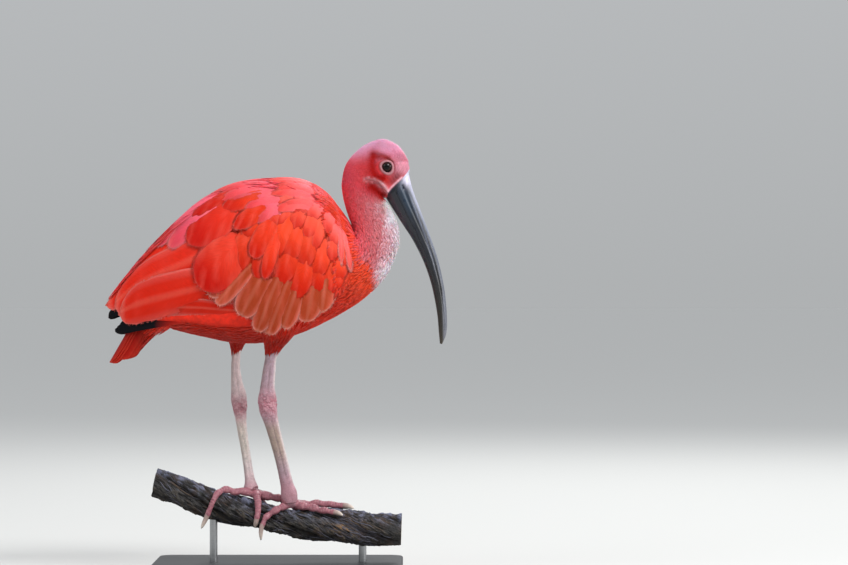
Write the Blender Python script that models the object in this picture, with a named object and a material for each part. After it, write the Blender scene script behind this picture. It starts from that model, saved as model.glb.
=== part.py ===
"""A life-size scarlet ibis that grips a short length of twisted vine, on a plain display stand.

The bird faces +X, its left side is towards +Y, and +Z is up. The origin is the middle of the
underside of the stand's base. Blender's unit here is the metre, and MM turns millimetres into it.
"""

import math
import random

import bmesh
import bpy
from mathutils import Vector
from mathutils.geometry import interpolate_bezier

MM = 0.001
GAP = 0.3 * MM  # clearance between pieces that touch
SEED = 11

# Eye and bill
EYE_RADIUS = 6.0 * MM
EYE_CENTRE = Vector((97.9, 12.8, 368.6)) * MM  # left eye
LID_RADIUS = 5.7 * MM
LID_THICKNESS = 1.5 * MM
LID_OUT = 16.9 * MM  # the lid ring's distance from the middle of the head
MOUTH_SHARE = 0.38  # height of the mouth line, as a share of the bill's depth

# Loft resolution
BODY_SIDES = 24
HEAD_SIDES = 24
BILL_SIDES = 7
BILL_STEPS = 17

# Feathers
VANE_THICKNESS = 0.6 * MM
HALVES = (VANE_THICKNESS / 2, -VANE_THICKNESS / 2)  # the upper and the lower face of a vane
# outlines as pairs: share of the length, share of the width
LONG_VANE = ((0.0, 0.5), (0.3, 0.85), (0.6, 1.0), (0.9, 0.8), (1.0, 0.3))
SHORT_VANE = ((0.0, 0.55), (0.5, 1.0), (0.86, 0.8), (1.0, 0.3))
SHINGLE_STEP = 0.95 * MM  # how much higher each vane lies than the one before it
SHINGLE_LIMIT = 0.2

# Vine, rods and base. The vine's rows are x, height of its middle and half its thickness, in millimetres.
VINE_ROWS = (
    (-111, 85, 12.4),
    (-73, 70.8, 12.4),
    (-38, 60.2, 13.0),
    (3, 50.8, 10.8),
    (33, 47.2, 13.8),
    (75, 44.4, 14.4),
    (111, 42.2, 13.0),
)
VINE_STRANDS = 3
VINE_PITCH = 210 * MM
# each strand's distance from the vine's middle, and its radius, as shares of the half thickness
STRAND_OFFSET = 0.4
STRAND_RADIUS = 0.72
ROD_RADIUS = 3.5 * MM
ROD_PLACES = (-58 * MM, 76 * MM)
ROD_IN_VINE = 9 * MM
ROD_IN_BASE = 8 * MM
BASE_LENGTH = 224 * MM
BASE_WIDTH = 144 * MM
BASE_HEIGHT = 14 * MM
BASE_CORNER = 12 * MM
BASE_EDGE = 1.5 * MM

# The bird from rump to bill, in millimetres: the upper and the lower outline as x and z, then half the width.
BODY_ROWS = (
    (-104, 250, -99, 226, 9),
    (-90, 274, -88, 221.5, 19),
    (-68, 304, -66, 216, 30),
    (-38, 333, -37, 210.5, 39),
    (-6, 347, -8, 211.5, 43.5),
    (20, 354.5, 20, 219.5, 44),
    (40, 347.5, 44, 230.5, 41.5),
    (53.5, 332, 67, 243.5, 37.5),
    (62.5, 319, 84, 256.5, 32.5),
    (67, 313.5, 95.5, 269.5, 27.5),
    (67, 317.5, 103.5, 285, 23),
    (64, 324.5, 108, 299, 20),
    (60.8, 333.5, 107.5, 314, 18),
    (58, 345, 102.5, 328, 17),
    (57.3, 356, 97, 337.5, 17),
    (62, 373, 94.5, 341, 17.5),
    (76, 387.5, 94.5, 342, 17.8),
    (92, 393.5, 95.5, 342, 17.8),
    (106, 388.5, 96.5, 341.5, 16.8),
    (115, 378, 97, 341, 14.2),
    (118.4, 369, 97.4, 340.5, 11.2),
    (117.8, 362, 97.8, 340, 8.8),
)
NECK_ROOT = 9.7
HEAD_ROOT = 14.0
BILL_ROOT = 21.0

# The closed bill from its base to its tip, in the same form.
BILL_ROWS = (
    (117.8, 362, 97.8, 340, 8.8),
    (121.4, 348, 106.1, 326.6, 7.6),
    (128.9, 328, 113.6, 314.9, 6.6),
    (136.5, 307.7, 121.5, 302.6, 5.8),
    (144.1, 284.9, 131.4, 282.4, 5.0),
    (149.6, 259.6, 138.3, 261.6, 4.5),
    (152.0, 234.4, 143.0, 237.5, 3.9),
    (151.4, 219.0, 144.6, 220.2, 3.2),
    (147.6, 209.4, 145.6, 210.2, 1.0),
)

# The folded wing's outer face, in millimetres: x, top, virtual foot of the section, half the width.
WING_ROWS = (
    (-158, 244, 218, 5),
    (-145, 260.5, 208, 13),
    (-125, 286, 204, 25),
    (-100, 312, 200, 37),
    (-70, 339, 195, 47.5),
    (-40, 354, 190, 54),
    (-8, 358.6, 187, 57),
    (20, 358, 188, 56.5),
    (42, 348, 200, 52.5),
    (58, 329, 220, 45),
    (68, 308, 246, 35),
)
WING_FULLNESS = 0.86
WING_COAT = 2.6 * MM  # the feathers' depth over the wing's core

# The wing's core, in millimetres and degrees: x, upper and lower edge as angles, depth.
CORE_ROWS = (
    (-108, 82, -26, 3.0),
    (-90, 84, -30, 5.5),
    (-50, 86, -36, 9.5),
    (0, 84, -32, 10.5),
    (25, 70, -26, 10.5),
    (45, 58, -18, 9.0),
    (60, 40, -2, 7.0),
)

# Tiers of wing feathers, in millimetres and degrees: how many, the line of the roots, the line of the tips
# (both as x and angle, evenly spread), width from first to last, lift at the root and at the tip, and the
# roll: -1 or 1 for the edge that each feather tucks under the next one.
WING_TIERS = {
    "primaries": (
        5,
        ((-48, -8), (-50, -18), (-50, -26)),
        ((-157, 20), (-153, -8), (-147, -29)),
        (15, 15),
        (-4.5, -3.2),
        -1,
    ),
    "secondaries": (
        7,
        ((-20, 80), (-30, 40), (-24, -18)),
        ((-155, 77), (-150, 6), (-96, -34)),
        (24, 21),
        (-2.6, 0.9),
        -1,
    ),
    "greater_coverts": (
        8,
        ((-14, 8), (18, 8), (47, -1)),
        ((-56, -12), (-10, -40), (38, -33)),
        (16, 14),
        (-2.6, 2.9),
        1,
    ),
    "median_coverts": (
        7,
        ((-4, 33), (26, 30), (57, 13)),
        ((-26, 5), (10, -4), (49, -15)),
        (18, 15),
        (-2.6, 2.6),
        1,
    ),
    "lesser_coverts": (
        5,
        ((8, 53), (34, 46), (60, 26)),
        ((-6, 25), (22, 18), (57, 4)),
        (16, 12),
        (-2.6, 2.2),
        1,
    ),
    "scapulars": (
        4,
        ((-35, 81), (-20, 48), (-8, 20)),
        ((-101, 80), (-80, 30), (-64, -8)),
        (28, 35),
        (-2.6, 3.6),
        -1,
    ),
    "upper_scapulars": (
        4,
        ((12, 78), (16, 60), (17, 42)),
        ((-46, 80), (-36, 54), (-24, 24)),
        (24, 24),
        (-2.6, 3.4),
        -1,
    ),
}

# Tail: its feathers lie one under the other round an arc that opens downwards.
TAIL_FEATHERS = 8
TAIL_TOP = Vector((-121, 0, 246)) * MM  # root of the top of the arc
TAIL_SLOPE = math.radians(-60)
TAIL_LENGTH = (61 * MM, 49 * MM)  # middle and outermost feathers
TAIL_ARC = (11 * MM, 14 * MM)  # radius at the roots and at the tips
TAIL_STEP = 0.9 * MM  # how far each feather lies under the one before it
TAIL_TURN = (math.radians(5), math.radians(66))
TAIL_WIDTH = 19 * MM
TAIL_ROWS = (
    (-104, 250, -99, 226, 9),
    (-122, 244, -107, 221, 10),
    (-134, 229, -117, 210, 8.5),
    (-140, 215, -126, 200, 5),
)

# Legs, in millimetres: middle of the section, then half its depth along the bird and half its width.
LEGS = {
    "right": (
        (6, -22, 246, 27, 15),
        (2, -23, 229, 20, 14),
        (-2, -22, 214, 12, 10.5),
        (-5, -21, 201, 5.5, 5),
        (-7.2, -19.6, 186, 5.6, 4.3),
        (-8.6, -18.4, 172, 6.4, 4.9),
        (-8.8, -17.2, 161, 8.2, 6.3),
        (-8.2, -16.6, 152, 8.1, 6.2),
        (-6.2, -15.8, 143, 6.7, 4.9),
        (-2.8, -14.2, 130, 5.8, 4.2),
        (3.4, -11.6, 106, 5.4, 4),
        (8, -9.2, 85, 5.7, 4.6),
        (10, -8, 76, 7.2, 5.8),
        (10.8, -6, 68, 7, 6),
    ),
    "left": (
        (-31, 20, 244, 22, 13),
        (-35, 21, 227, 16, 12),
        (-37.8, 21, 214, 9.5, 8.5),
        (-39, 20.6, 202, 4.2, 4.6),
        (-39.4, 19.4, 189, 4, 4.3),
        (-38.4, 18.4, 175, 5.1, 5),
        (-36.6, 17.4, 163, 6.9, 6.6),
        (-35.6, 16.6, 154, 6.8, 6.4),
        (-34.6, 15.6, 144, 5.2, 5),
        (-33, 13.8, 131, 4.3, 4.3),
        (-29.2, 10.8, 108, 3.9, 4.1),
        (-26, 7.8, 88, 4.4, 4.6),
        (-24.9, 6.6, 80, 6.6, 5.8),
        (-24.6, 5.4, 73, 7, 6.4),
    ),
}
THIGH_END = 3
SHANK_END = 8
TARSUS_END = 12

# Feet: each place is x in millimetres, an angle round the vine, where 90 is its top and 180 the near side,
# and the height over the bark in millimetres. The last place of a toe is its claw's end.
TOE_SIDES = 8
TOE_STEPS = 6
PAD_RADII = Vector((8.2, 7.4, 4.4)) * MM
CLAW_TAPER = (0.88, 0.82, 0.7, 0.5, 0.16)  # a claw's thickness along it, as shares of the toe's
TOE_RADII = {"hallux": (3.3, 2.2), "inner": (3.4, 2.3), "middle": (3.6, 2.4), "outer": (3.4, 2.3)}
FEET = {
    "right": {
        "pad": (10.8, 98),
        "hallux": ((4, 116, 0), (-3, 142, 0), (-10, 172, 0), (-12, 200, 2), (-10.5, 230, 12)),
        "inner": ((19, 74, 0), (29, 56, 0), (35, 28, 0), (38, 4, 0), (39.5, -20, 0)),
        "middle": ((21, 93, 0), (34, 91, 0), (47, 92, 0), (58, 94, 0), (67.5, 99, 0)),
        "outer": ((20, 110, 0), (31, 118, 0), (41, 126, 0), (50, 132, 0), (58, 139, 0)),
    },
    "left": {
        "pad": (-24.6, 80),
        "hallux": ((-36, 96, 0), (-50, 112, 0), (-57, 145, 1), (-59.5, 208, 5), (-61, 232, 14)),
        "inner": ((-23, 104, 0), (-20.5, 130, 0), (-18.5, 160, 0), (-18, 188, 0), (-18, 217, 2)),
        "middle": ((-13, 80, 2), (-2, 75, 4), (8, 58, 3), (15, 42, 1), (20, 30, 0)),
        "outer": ((-20, 60, 0), (-15, 36, 0), (-9, 13, 0), (-4, -8, 0), (-1, -32, 0)),
    },
}
TOES = ("hallux", "inner", "middle", "outer")

COLOURS = {
    "scarlet_feather": ("D8301E", 0.62, 0.0),
    "rose_feather": ("DE5C68", 0.66, 0.0),
    "pale_neck_feather": ("E0959A", 0.72, 0.0),
    "slate_horn": ("2B3036", 0.32, 0.0),
    "dark_glass": ("120C0A", 0.08, 0.0),
    "leg_skin": ("B98389", 0.5, 0.0),
    "claw_horn": ("8A7C70", 0.4, 0.0),
    "vine_bark": ("5B524C", 0.85, 0.0),
    "brushed_steel": ("9A9C9E", 0.35, 1.0),
    "charcoal_lacquer": ("2C2D30", 0.45, 0.0),
}


def clear_scene():
    for old in list(bpy.data.objects):
        bpy.data.objects.remove(old)


def linear(channel):
    return channel / 12.92 if channel <= 0.04045 else ((channel + 0.055) / 1.055) ** 2.4


def material(name):
    found = bpy.data.materials.get(name)
    if found:
        return found
    code, roughness, metallic = COLOURS[name]
    made = bpy.data.materials.new(name)
    made.use_nodes = True
    shader = made.node_tree.nodes["Principled BSDF"]
    rgb = [linear(int(code[i : i + 2], 16) / 255) for i in (0, 2, 4)]
    shader.inputs["Base Color"].default_value = (*rgb, 1)
    shader.inputs["Roughness"].default_value = roughness
    shader.inputs["Metallic"].default_value = metallic
    return made


def object_from(name, points, faces, finish):
    """One mesh object with its faces turned outwards."""
    mesh = bpy.data.meshes.new(name)
    mesh.from_pydata([tuple(p) for p in points], [], faces)
    shape = bmesh.new()
    shape.from_mesh(mesh)
    bmesh.ops.recalc_face_normals(shape, faces=shape.faces)
    shape.to_mesh(mesh)
    shape.free()
    mesh.materials.append(material(finish))
    made = bpy.data.objects.new(name, mesh)
    bpy.context.scene.collection.objects.link(made)
    return made


def loft(name, rings, finish):
    """A closed skin over rings of equal count, with a flat face over each end."""
    count = len(rings[0])
    points = [p for ring in rings for p in ring]
    faces = [list(range(count)), list(range(len(points) - count, len(points)))]
    for i in range(len(rings) - 1):
        for j in range(count):
            k = (j + 1) % count
            faces.append([i * count + j, i * count + k, (i + 1) * count + k, (i + 1) * count + j])
    return object_from(name, points, faces, finish)


def smooth_rows(rows, t):
    """Rows of numbers joined by one smooth curve, where t counts the rows."""
    last = len(rows) - 1
    i = min(max(int(t), 0), last - 1)
    f = t - i
    b, c = rows[i], rows[i + 1]
    a = rows[i - 1] if i > 0 else [2 * p - q for p, q in zip(b, c)]
    d = rows[i + 2] if i + 2 <= last else [2 * q - p for p, q in zip(b, c)]
    return [
        q + 0.5 * f * ((r - p) + f * ((2 * p - 5 * q + 4 * r - s) + f * (3 * (q - r) + s - p)))
        for p, q, r, s in zip(a, b, c, d)
    ]


def row_at(rows, x):
    """The row for a value of the first column, which rises from row to row."""
    low, high = 0.0, float(len(rows) - 1)
    while high - low > 1e-4:
        middle = (low + high) / 2
        if smooth_rows(rows, middle)[0] < x:
            low = middle
        else:
            high = middle
    return smooth_rows(rows, low)


def profile_ring(row, sides, grow=0.0, shift=0.0, fullness=0.92):
    """A flat ring through an upper and a lower outline point, moved along its own normal by shift."""
    top = Vector((row[0], 0, row[1])) * MM
    low = Vector((row[2], 0, row[3])) * MM
    up = (top - low).normalized()
    ahead = Vector((up.z, 0, -up.x))
    middle = (top + low) / 2 + ahead * shift
    height = (top - low).length / 2 + grow
    width = row[4] * MM + grow
    ring = []
    for i in range(sides):
        turn = 2 * math.pi * i / sides
        out = math.copysign(abs(math.sin(turn)) ** fullness, math.sin(turn))
        ring.append(middle + up * (height * math.cos(turn)) + Vector((0, width * out, 0)))
    return ring


def steps(start, end, count):
    return [start + (end - start) * i / count for i in range(count + 1)]


def body_rings(start, end, count, sides, grow=0.0, gaps=(0.0, 0.0)):
    """Rings along the bird, the first and the last of them drawn back where a neighbour meets them."""
    places = steps(start, end, count)
    shifts = [gaps[0]] + [0.0] * (count - 1) + [-gaps[1]]
    return [
        profile_ring(smooth_rows(BODY_ROWS, t), sides, grow, shift)
        for t, shift in zip(places, shifts)
    ]


def apply_modifiers(piece):
    graph = bpy.context.evaluated_depsgraph_get()
    bpy.context.view_layer.update()
    done = bpy.data.meshes.new_from_object(piece.evaluated_get(graph))
    piece.modifiers.clear()
    piece.data = done


def keep_largest(piece):
    """Drops every closed surface of a mesh but the largest."""
    shape = bmesh.new()
    shape.from_mesh(piece.data)
    left = set(shape.faces)
    groups = []
    while left:
        stack = [left.pop()]
        group = list(stack)
        while stack:
            for edge in stack.pop().edges:
                for face in edge.link_faces:
                    if face in left:
                        left.remove(face)
                        stack.append(face)
                        group.append(face)
        groups.append(group)
    groups.sort(key=lambda g: sum(face.calc_area() for face in g))
    for group in groups[:-1]:
        bmesh.ops.delete(shape, geom=group, context="FACES")
    shape.to_mesh(piece.data)
    shape.free()


def join(body, others, solver="EXACT"):
    """Fuses closed pieces into body with one Boolean union."""
    held = bpy.data.collections.new(body.name + "_pieces")
    bpy.context.scene.collection.children.link(held)
    for piece in others:
        bpy.context.scene.collection.objects.unlink(piece)
        held.objects.link(piece)
    union = body.modifiers.new("union", "BOOLEAN")
    union.operation = "UNION"
    union.operand_type = "COLLECTION"
    union.collection = held
    union.solver = solver
    apply_modifiers(body)
    for piece in others:
        bpy.data.objects.remove(piece)
    bpy.data.collections.remove(held)
    keep_largest(body)
    return body


def cut(body, cutter, solver="EXACT"):
    """Takes cutter out of body and removes the cutter."""
    remove = body.modifiers.new("cut", "BOOLEAN")
    remove.operation = "DIFFERENCE"
    remove.object = cutter
    remove.solver = solver
    apply_modifiers(body)
    bpy.data.objects.remove(cutter)
    keep_largest(body)
    return body


def shade(piece, degrees=40):
    piece.data.shade_smooth()
    piece.data.set_sharp_from_angle(angle=math.radians(degrees))
    return piece


def ball(name, centre, radii, finish, segments=16, rings=10):
    shape = bmesh.new()
    bmesh.ops.create_uvsphere(shape, u_segments=segments, v_segments=rings, radius=1)
    for vertex in shape.verts:
        vertex.co = Vector(centre) + Vector(a * b for a, b in zip(vertex.co, radii))
    mesh = bpy.data.meshes.new(name)
    shape.to_mesh(mesh)
    shape.free()
    mesh.materials.append(material(finish))
    made = bpy.data.objects.new(name, mesh)
    bpy.context.scene.collection.objects.link(made)
    return made


def directions_along(points):
    """Two directions across a line at each of its points, carried along it without twist."""
    found = []
    for i in range(len(points)):
        a = points[max(i - 1, 0)]
        b = points[min(i + 1, len(points) - 1)]
        ahead = (b - a).normalized()
        side = found[-1][0] if found else Vector((0, 0, 1)).cross(ahead)
        if side.length < 0.3:
            side = Vector((0, 1, 0))
        side = (side - ahead * side.dot(ahead)).normalized()
        found.append((side, ahead.cross(side)))
    return found


def tube(name, points, radii, finish, sides):
    """A closed round tube along points, with a radius for each of them."""
    rings = []
    for point, radius, (side, up) in zip(points, radii, directions_along(points)):
        ring = []
        for j in range(sides):
            turn = 2 * math.pi * j / sides
            ring.append(point + side * (radius * math.cos(turn)) + up * (radius * math.sin(turn)))
        rings.append(ring)
    return loft(name, rings, finish)


# Torso, neck and head


def torso(grow=0.0, name="torso"):
    rings = body_rings(0.0, NECK_ROOT, 17, BODY_SIDES, grow, (GAP / 2 - grow, GAP / 2 - grow))
    return loft(name, rings, "scarlet_feather")


def neck():
    rings = body_rings(NECK_ROOT, HEAD_ROOT, 9, BODY_SIDES, 0.0, (GAP / 2, GAP / 2))
    return loft("neck", rings, "pale_neck_feather")


def lid_ring(side):
    """The bare ring of lid round one eye."""
    shape = []
    count, round_count = 14, 6
    for i in range(count):
        turn = 2 * math.pi * i / count
        for j in range(round_count):
            bend = 2 * math.pi * j / round_count
            reach = LID_RADIUS + LID_THICKNESS * math.cos(bend)
            shape.append(
                Vector(
                    (
                        EYE_CENTRE.x + reach * math.cos(turn),
                        side * (LID_OUT + LID_THICKNESS * math.sin(bend)),
                        EYE_CENTRE.z + reach * 1.06 * math.sin(turn),
                    )
                )
            )
    faces = []
    for i in range(count):
        for j in range(round_count):
            k, m = (i + 1) % count, (j + 1) % round_count
            faces.append([i * round_count + j, k * round_count + j, k * round_count + m, i * round_count + m])
    return object_from(f"lid_{side}", shape, faces, "rose_feather")


def gape_fold(side):
    """The raised fold of skin that runs back from the corner of the mouth."""
    line = interpolate_bezier(
        Vector((101.0, side * 11.6, 348.4)) * MM,
        Vector((93.0, side * 15.6, 356.0)) * MM,
        Vector((89.0, side * 16.6, 358.5)) * MM,
        Vector((81.5, side * 16.2, 359.5)) * MM,
        6,
    )
    radii = [1.5 * MM, 1.9 * MM, 1.9 * MM, 1.7 * MM, 1.4 * MM, 0.9 * MM]
    return tube(f"gape_{side}", line, radii, "rose_feather", 6)


def head():
    rings = body_rings(HEAD_ROOT, BILL_ROOT, 14, HEAD_SIDES, 0.0, (GAP / 2, GAP / 2))
    made = loft("head", rings, "rose_feather")
    join(made, [lid_ring(1), lid_ring(-1), gape_fold(1), gape_fold(-1)])
    for side in (1, -1):
        centre = Vector((EYE_CENTRE.x, side * EYE_CENTRE.y, EYE_CENTRE.z))
        reach = EYE_RADIUS + GAP
        cut(made, ball("socket", centre, (reach, reach, reach), "dark_glass", 14, 9))
    return made


def eye(side, name):
    centre = Vector((EYE_CENTRE.x, side * EYE_CENTRE.y, EYE_CENTRE.z))
    return ball(name, centre, (EYE_RADIUS, EYE_RADIUS, EYE_RADIUS), "dark_glass", 12, 9)


# Bill


def bill_section(row, share_from, share_to, shift=0.0):
    """A part of the bill's section between two shares of its depth, with the long groove."""
    top = Vector((row[0], 0, row[1])) * MM
    low = Vector((row[2], 0, row[3])) * MM
    up = (top - low).normalized()
    ahead = Vector((up.z, 0, -up.x))
    width = row[4] * MM
    shares = steps(share_from, share_to, BILL_SIDES)
    right, left = [], []
    for share in shares:
        round_off = math.sqrt(max(0.0, 1 - ((share - 0.5) / 0.5) ** 2))
        groove = 0.13 * math.exp(-(((share - 0.66) / 0.07) ** 2))
        out = width * max(round_off - groove, 0.0)
        centre = low + (top - low) * share + ahead * shift
        right.append(centre + Vector((0, -out, 0)))
        left.append(centre + Vector((0, out, 0)))
    if share_to >= 1.0:
        return right + left[-2::-1]
    if share_from <= 0.0:
        return right[1:] + left[:0:-1] + [right[0]]
    return right + left[::-1]


def bill(name, share_from, share_to):
    rings = []
    for i, t in enumerate(steps(0.0, len(BILL_ROWS) - 1.0, BILL_STEPS)):
        shift = GAP / 2 if i == 0 else 0.0
        rings.append(bill_section(smooth_rows(BILL_ROWS, t), share_from, share_to, shift))
    return loft(name, rings, "slate_horn")


def nostril_cutter(side):
    """A narrow slot in the groove of the upper bill, near its base."""
    places = ((116.3, 8.2, 350.5), (118.0, 7.9, 346.5), (119.6, 7.5, 342.5))
    line = [Vector((x, side * y, z)) * MM for x, y, z in places]
    return tube("nostril", line, [1.0 * MM, 1.25 * MM, 0.9 * MM], "slate_horn", 6)


# Wings


def wing_point(x, angle, lift, side):
    """A point over the folded wing's face: x, the angle from belly to spine, and the height off the core."""
    inset = lift - WING_COAT

    def place(at_x, at_angle):
        _, t, f, w = (value * MM for value in row_at(WING_ROWS, at_x / MM))
        cosine = max(math.cos(at_angle), 0.0)
        return Vector((at_x, w * cosine**WING_FULLNESS, f + (t - f) * (0.5 + 0.5 * math.sin(at_angle))))

    step_x, step_a = 1.0 * MM, 0.02
    along = place(x + step_x, angle) - place(x - step_x, angle)
    around = place(x, angle + step_a) - place(x, angle - step_a)
    out = around.cross(along).normalized()
    if out.y < 0:
        out.negate()
    point = place(x, angle) + out * inset
    return Vector((point.x, side * max(point.y, GAP / 2), point.z))


def girth_per_radian(x, angle):
    ahead = wing_point(x, angle + 0.05, WING_COAT, 1)
    behind = wing_point(x, angle - 0.05, WING_COAT, 1)
    return max((ahead - behind).length / 0.1, 4 * MM)


def on_line(points, share):
    """A point on a smooth line through a few points, share from 0 to 1."""
    return smooth_rows(points, share * (len(points) - 1))


def wing_distance(a, b):
    """How far apart two places on the wing's face are, each an x in millimetres and an angle in degrees."""
    ends = [wing_point(x * MM, math.radians(angle), 0.0, 1) for x, angle in (a, b)]
    return (ends[1] - ends[0]).length


def wing_vane(name, root, tip, width, lifts, slopes, outline, side):
    """One thin feather that follows the wing's face: root and tip are x in metres and an angle in radians."""
    grid = []
    span = girth_per_radian((root[0] + tip[0]) / 2, (root[1] + tip[1]) / 2)
    run_x, run_a = tip[0] - root[0], (tip[1] - root[1]) * span
    length = math.hypot(run_x, run_a)
    for t, share in outline:
        x = root[0] + (tip[0] - root[0]) * t
        angle = root[1] + (tip[1] - root[1]) * t
        rise = lifts[0] + (lifts[1] - lifts[0]) * (1 - (1 - t) ** 3)
        girth = girth_per_radian(x, angle)
        row = []
        slope = slopes[0] + (slopes[1] - slopes[0]) * t
        for across in (-1, 1):
            off = across * width / 2 * share
            at_x = x - run_a / length * off
            at_angle = min(angle + run_x / length * off / girth, math.radians(89))
            height = rise + slope * off
            row.append([wing_point(at_x, at_angle, height + half, side) for half in HALVES])
        grid.append(row)
    return plate(name, grid, "scarlet_feather")


def plate(name, grid, finish):
    """A thin closed plate from rows of (upper, lower) points, with the same diagonals on both faces."""
    points, index = [], {}
    for i, row in enumerate(grid):
        for j, pair in enumerate(row):
            for layer in (0, 1):
                index[i, j, layer] = len(points)
                points.append(pair[layer])
    rows, columns = len(grid), len(grid[0])
    faces = []

    def quad(a, b, c, d):
        faces.append([a, b, c])
        faces.append([a, c, d])

    for i in range(rows - 1):
        for j in range(columns - 1):
            for layer in (0, 1):
                a, b = index[i, j, layer], index[i + 1, j, layer]
                quad(a, b, index[i + 1, j + 1, layer], index[i, j + 1, layer])
        for j in (0, columns - 1):
            quad(index[i, j, 0], index[i + 1, j, 0], index[i + 1, j, 1], index[i, j, 1])
    for i in (0, rows - 1):
        for j in range(columns - 1):
            quad(index[i, j, 0], index[i, j + 1, 0], index[i, j + 1, 1], index[i, j, 1])
    return object_from(name, points, faces, finish)


def wing_core(name, side):
    """The solid of muscle, bone and packed feather under the vanes."""
    rows, columns = 12, 6
    first, last = CORE_ROWS[0][0], CORE_ROWS[-1][0]
    grid = []
    for x in steps(first, last, rows):
        _, upper, lower, depth = row_at(CORE_ROWS, x)
        row = []
        for angle in steps(upper, lower, columns):
            outer = wing_point(x * MM, math.radians(angle), 0.0, side)
            inner = wing_point(x * MM, math.radians(angle), -depth * MM, side)
            row.append((outer, inner))
        grid.append(row)
    return plate(name, grid, "scarlet_feather")


def wing(side, name):
    draw = random.Random(SEED)
    made = wing_core(name, side)
    vanes = []
    for tier, (count, roots, tips, widths, lifts, roll) in WING_TIERS.items():
        outline = LONG_VANE if tier in ("primaries", "secondaries") else SHORT_VANE
        for i in range(count):
            share = i / (count - 1)
            slopes = []
            for line in (roots, tips):
                ends = [on_line(line, min(max(share + off / (count - 1), 0.0), 1.0)) for off in (-0.5, 0.5)]
                slopes.append(roll * min(SHINGLE_STEP / wing_distance(*ends), SHINGLE_LIMIT))
            root_x, root_angle = on_line(roots, share)
            tip_x, tip_angle = on_line(tips, share)
            tip_x += draw.uniform(-1.2, 1.2)
            tip_angle += draw.uniform(-0.8, 0.8)
            width = widths[0] + (widths[1] - widths[0]) * share
            vanes.append(
                wing_vane(
                    f"{tier}_{i}",
                    (root_x * MM, math.radians(root_angle)),
                    (tip_x * MM, math.radians(tip_angle)),
                    width * MM * draw.uniform(0.96, 1.04),
                    (lifts[0] * MM, lifts[1] * MM),
                    slopes,
                    outline,
                    side,
                )
            )
    join(made, vanes, "MANIFOLD")
    cut(made, torso(GAP, "torso_room"), "MANIFOLD")
    return made


# Tail


def tail():
    rings = []
    count = 5
    for i, t in enumerate(steps(0.0, len(TAIL_ROWS) - 1.0, count)):
        rings.append(profile_ring(smooth_rows(TAIL_ROWS, t), 16, 0.0, -GAP / 2 if i == 0 else 0.0))
    made = loft("tail", rings, "scarlet_feather")
    vanes = []
    for i in range(TAIL_FEATHERS):
        share = (i // 2) / (TAIL_FEATHERS // 2 - 1)
        vanes.append(tail_vane(i, 1 if i % 2 else -1, share))
    return join(made, vanes, "MANIFOLD")


def tail_vane(number, side, share):
    """One tail feather: share runs from 0 in the middle, on top, to 1 for the outermost and lowest one."""
    ahead = Vector((-math.cos(TAIL_SLOPE), 0, math.sin(TAIL_SLOPE)))
    up = Vector((0, 1, 0)).cross(ahead)
    length = TAIL_LENGTH[0] + (TAIL_LENGTH[1] - TAIL_LENGTH[0]) * share
    place = side * (TAIL_TURN[0] + (TAIL_TURN[1] - TAIL_TURN[0]) * share)
    grid = []
    for t, outline in zip((0.0, 0.5, 0.85, 1.0), (0.55, 0.95, 0.95, 0.4)):
        arc = TAIL_ARC[0] + (TAIL_ARC[1] - TAIL_ARC[0]) * t
        reach = arc - number * TAIL_STEP
        middle = TAIL_TOP + ahead * (length * t) - up * arc
        row = []
        for k in (-1, 0, 1):
            turn = place + k * TAIL_WIDTH / 2 * outline / reach
            out = Vector((0, math.sin(turn), 0)) + up * math.cos(turn)
            row.append([middle + out * (reach + half) for half in HALVES])
        grid.append(row)
    return plate(f"rectrix_{number}", grid, "scarlet_feather")


# Legs and feet


def leg_piece(name, rows, start, end, finish, count, sides, gaps):
    """An oval length of one leg from row to row, drawn back at each end where it meets the next."""
    rings = []
    for i, t in enumerate(steps(float(start), float(end), count)):
        x, y, z, depth, width = smooth_rows(rows, t)
        ahead = Vector(smooth_rows(rows, t + 0.02)[:3]) - Vector(smooth_rows(rows, t - 0.02)[:3])
        ahead.normalize()
        shift = gaps[0] if i == 0 else -gaps[1] if i == count else 0.0
        centre = Vector((x, y, z)) * MM + ahead * shift
        side = Vector((0, 1, 0)) - ahead * ahead.y
        side.normalize()
        fore = side.cross(ahead)
        ring = []
        for j in range(sides):
            turn = 2 * math.pi * j / sides
            ring.append(centre + fore * (depth * MM * math.cos(turn)) + side * (width * MM * math.sin(turn)))
        rings.append(ring)
    return loft(name, rings, finish)


def vine_point(x, turn, lift):
    """A point over the vine's bark: x, the angle round the vine, and the height over its strands."""
    spread = math.radians(20)
    reach = max(vine_radius(x, turn + turned) for turned in (-spread, 0.0, spread)) + lift
    centre, up = vine_middle(x)
    return centre + Vector((0, math.cos(turn), 0)) * reach + up * (math.sin(turn) * reach)


def pad_centre(side_name):
    x, angle = FEET[side_name]["pad"]
    return vine_point(x * MM, math.radians(angle), PAD_RADII.z + 3 * GAP)


def toe_radius(toe, share):
    """Half the thickness of a toe, a little more at each joint."""
    thick, thin = TOE_RADII[toe]
    return (thick + (thin - thick) * share) * (1 + 0.09 * math.cos(share * 6 * math.pi)) * MM


def toe_line(side_name, toe):
    """Points along a toe's middle, which runs from the pad over the bark."""
    places = FEET[side_name][toe][:-1]
    line = [pad_centre(side_name)]
    for i in range(TOE_STEPS):
        share = i / (TOE_STEPS - 1)
        x, angle, lift = on_line(places, share)
        line.append(vine_point(x * MM, math.radians(angle), lift * MM + toe_radius(toe, share) + 1.5 * GAP))
    return line


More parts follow.
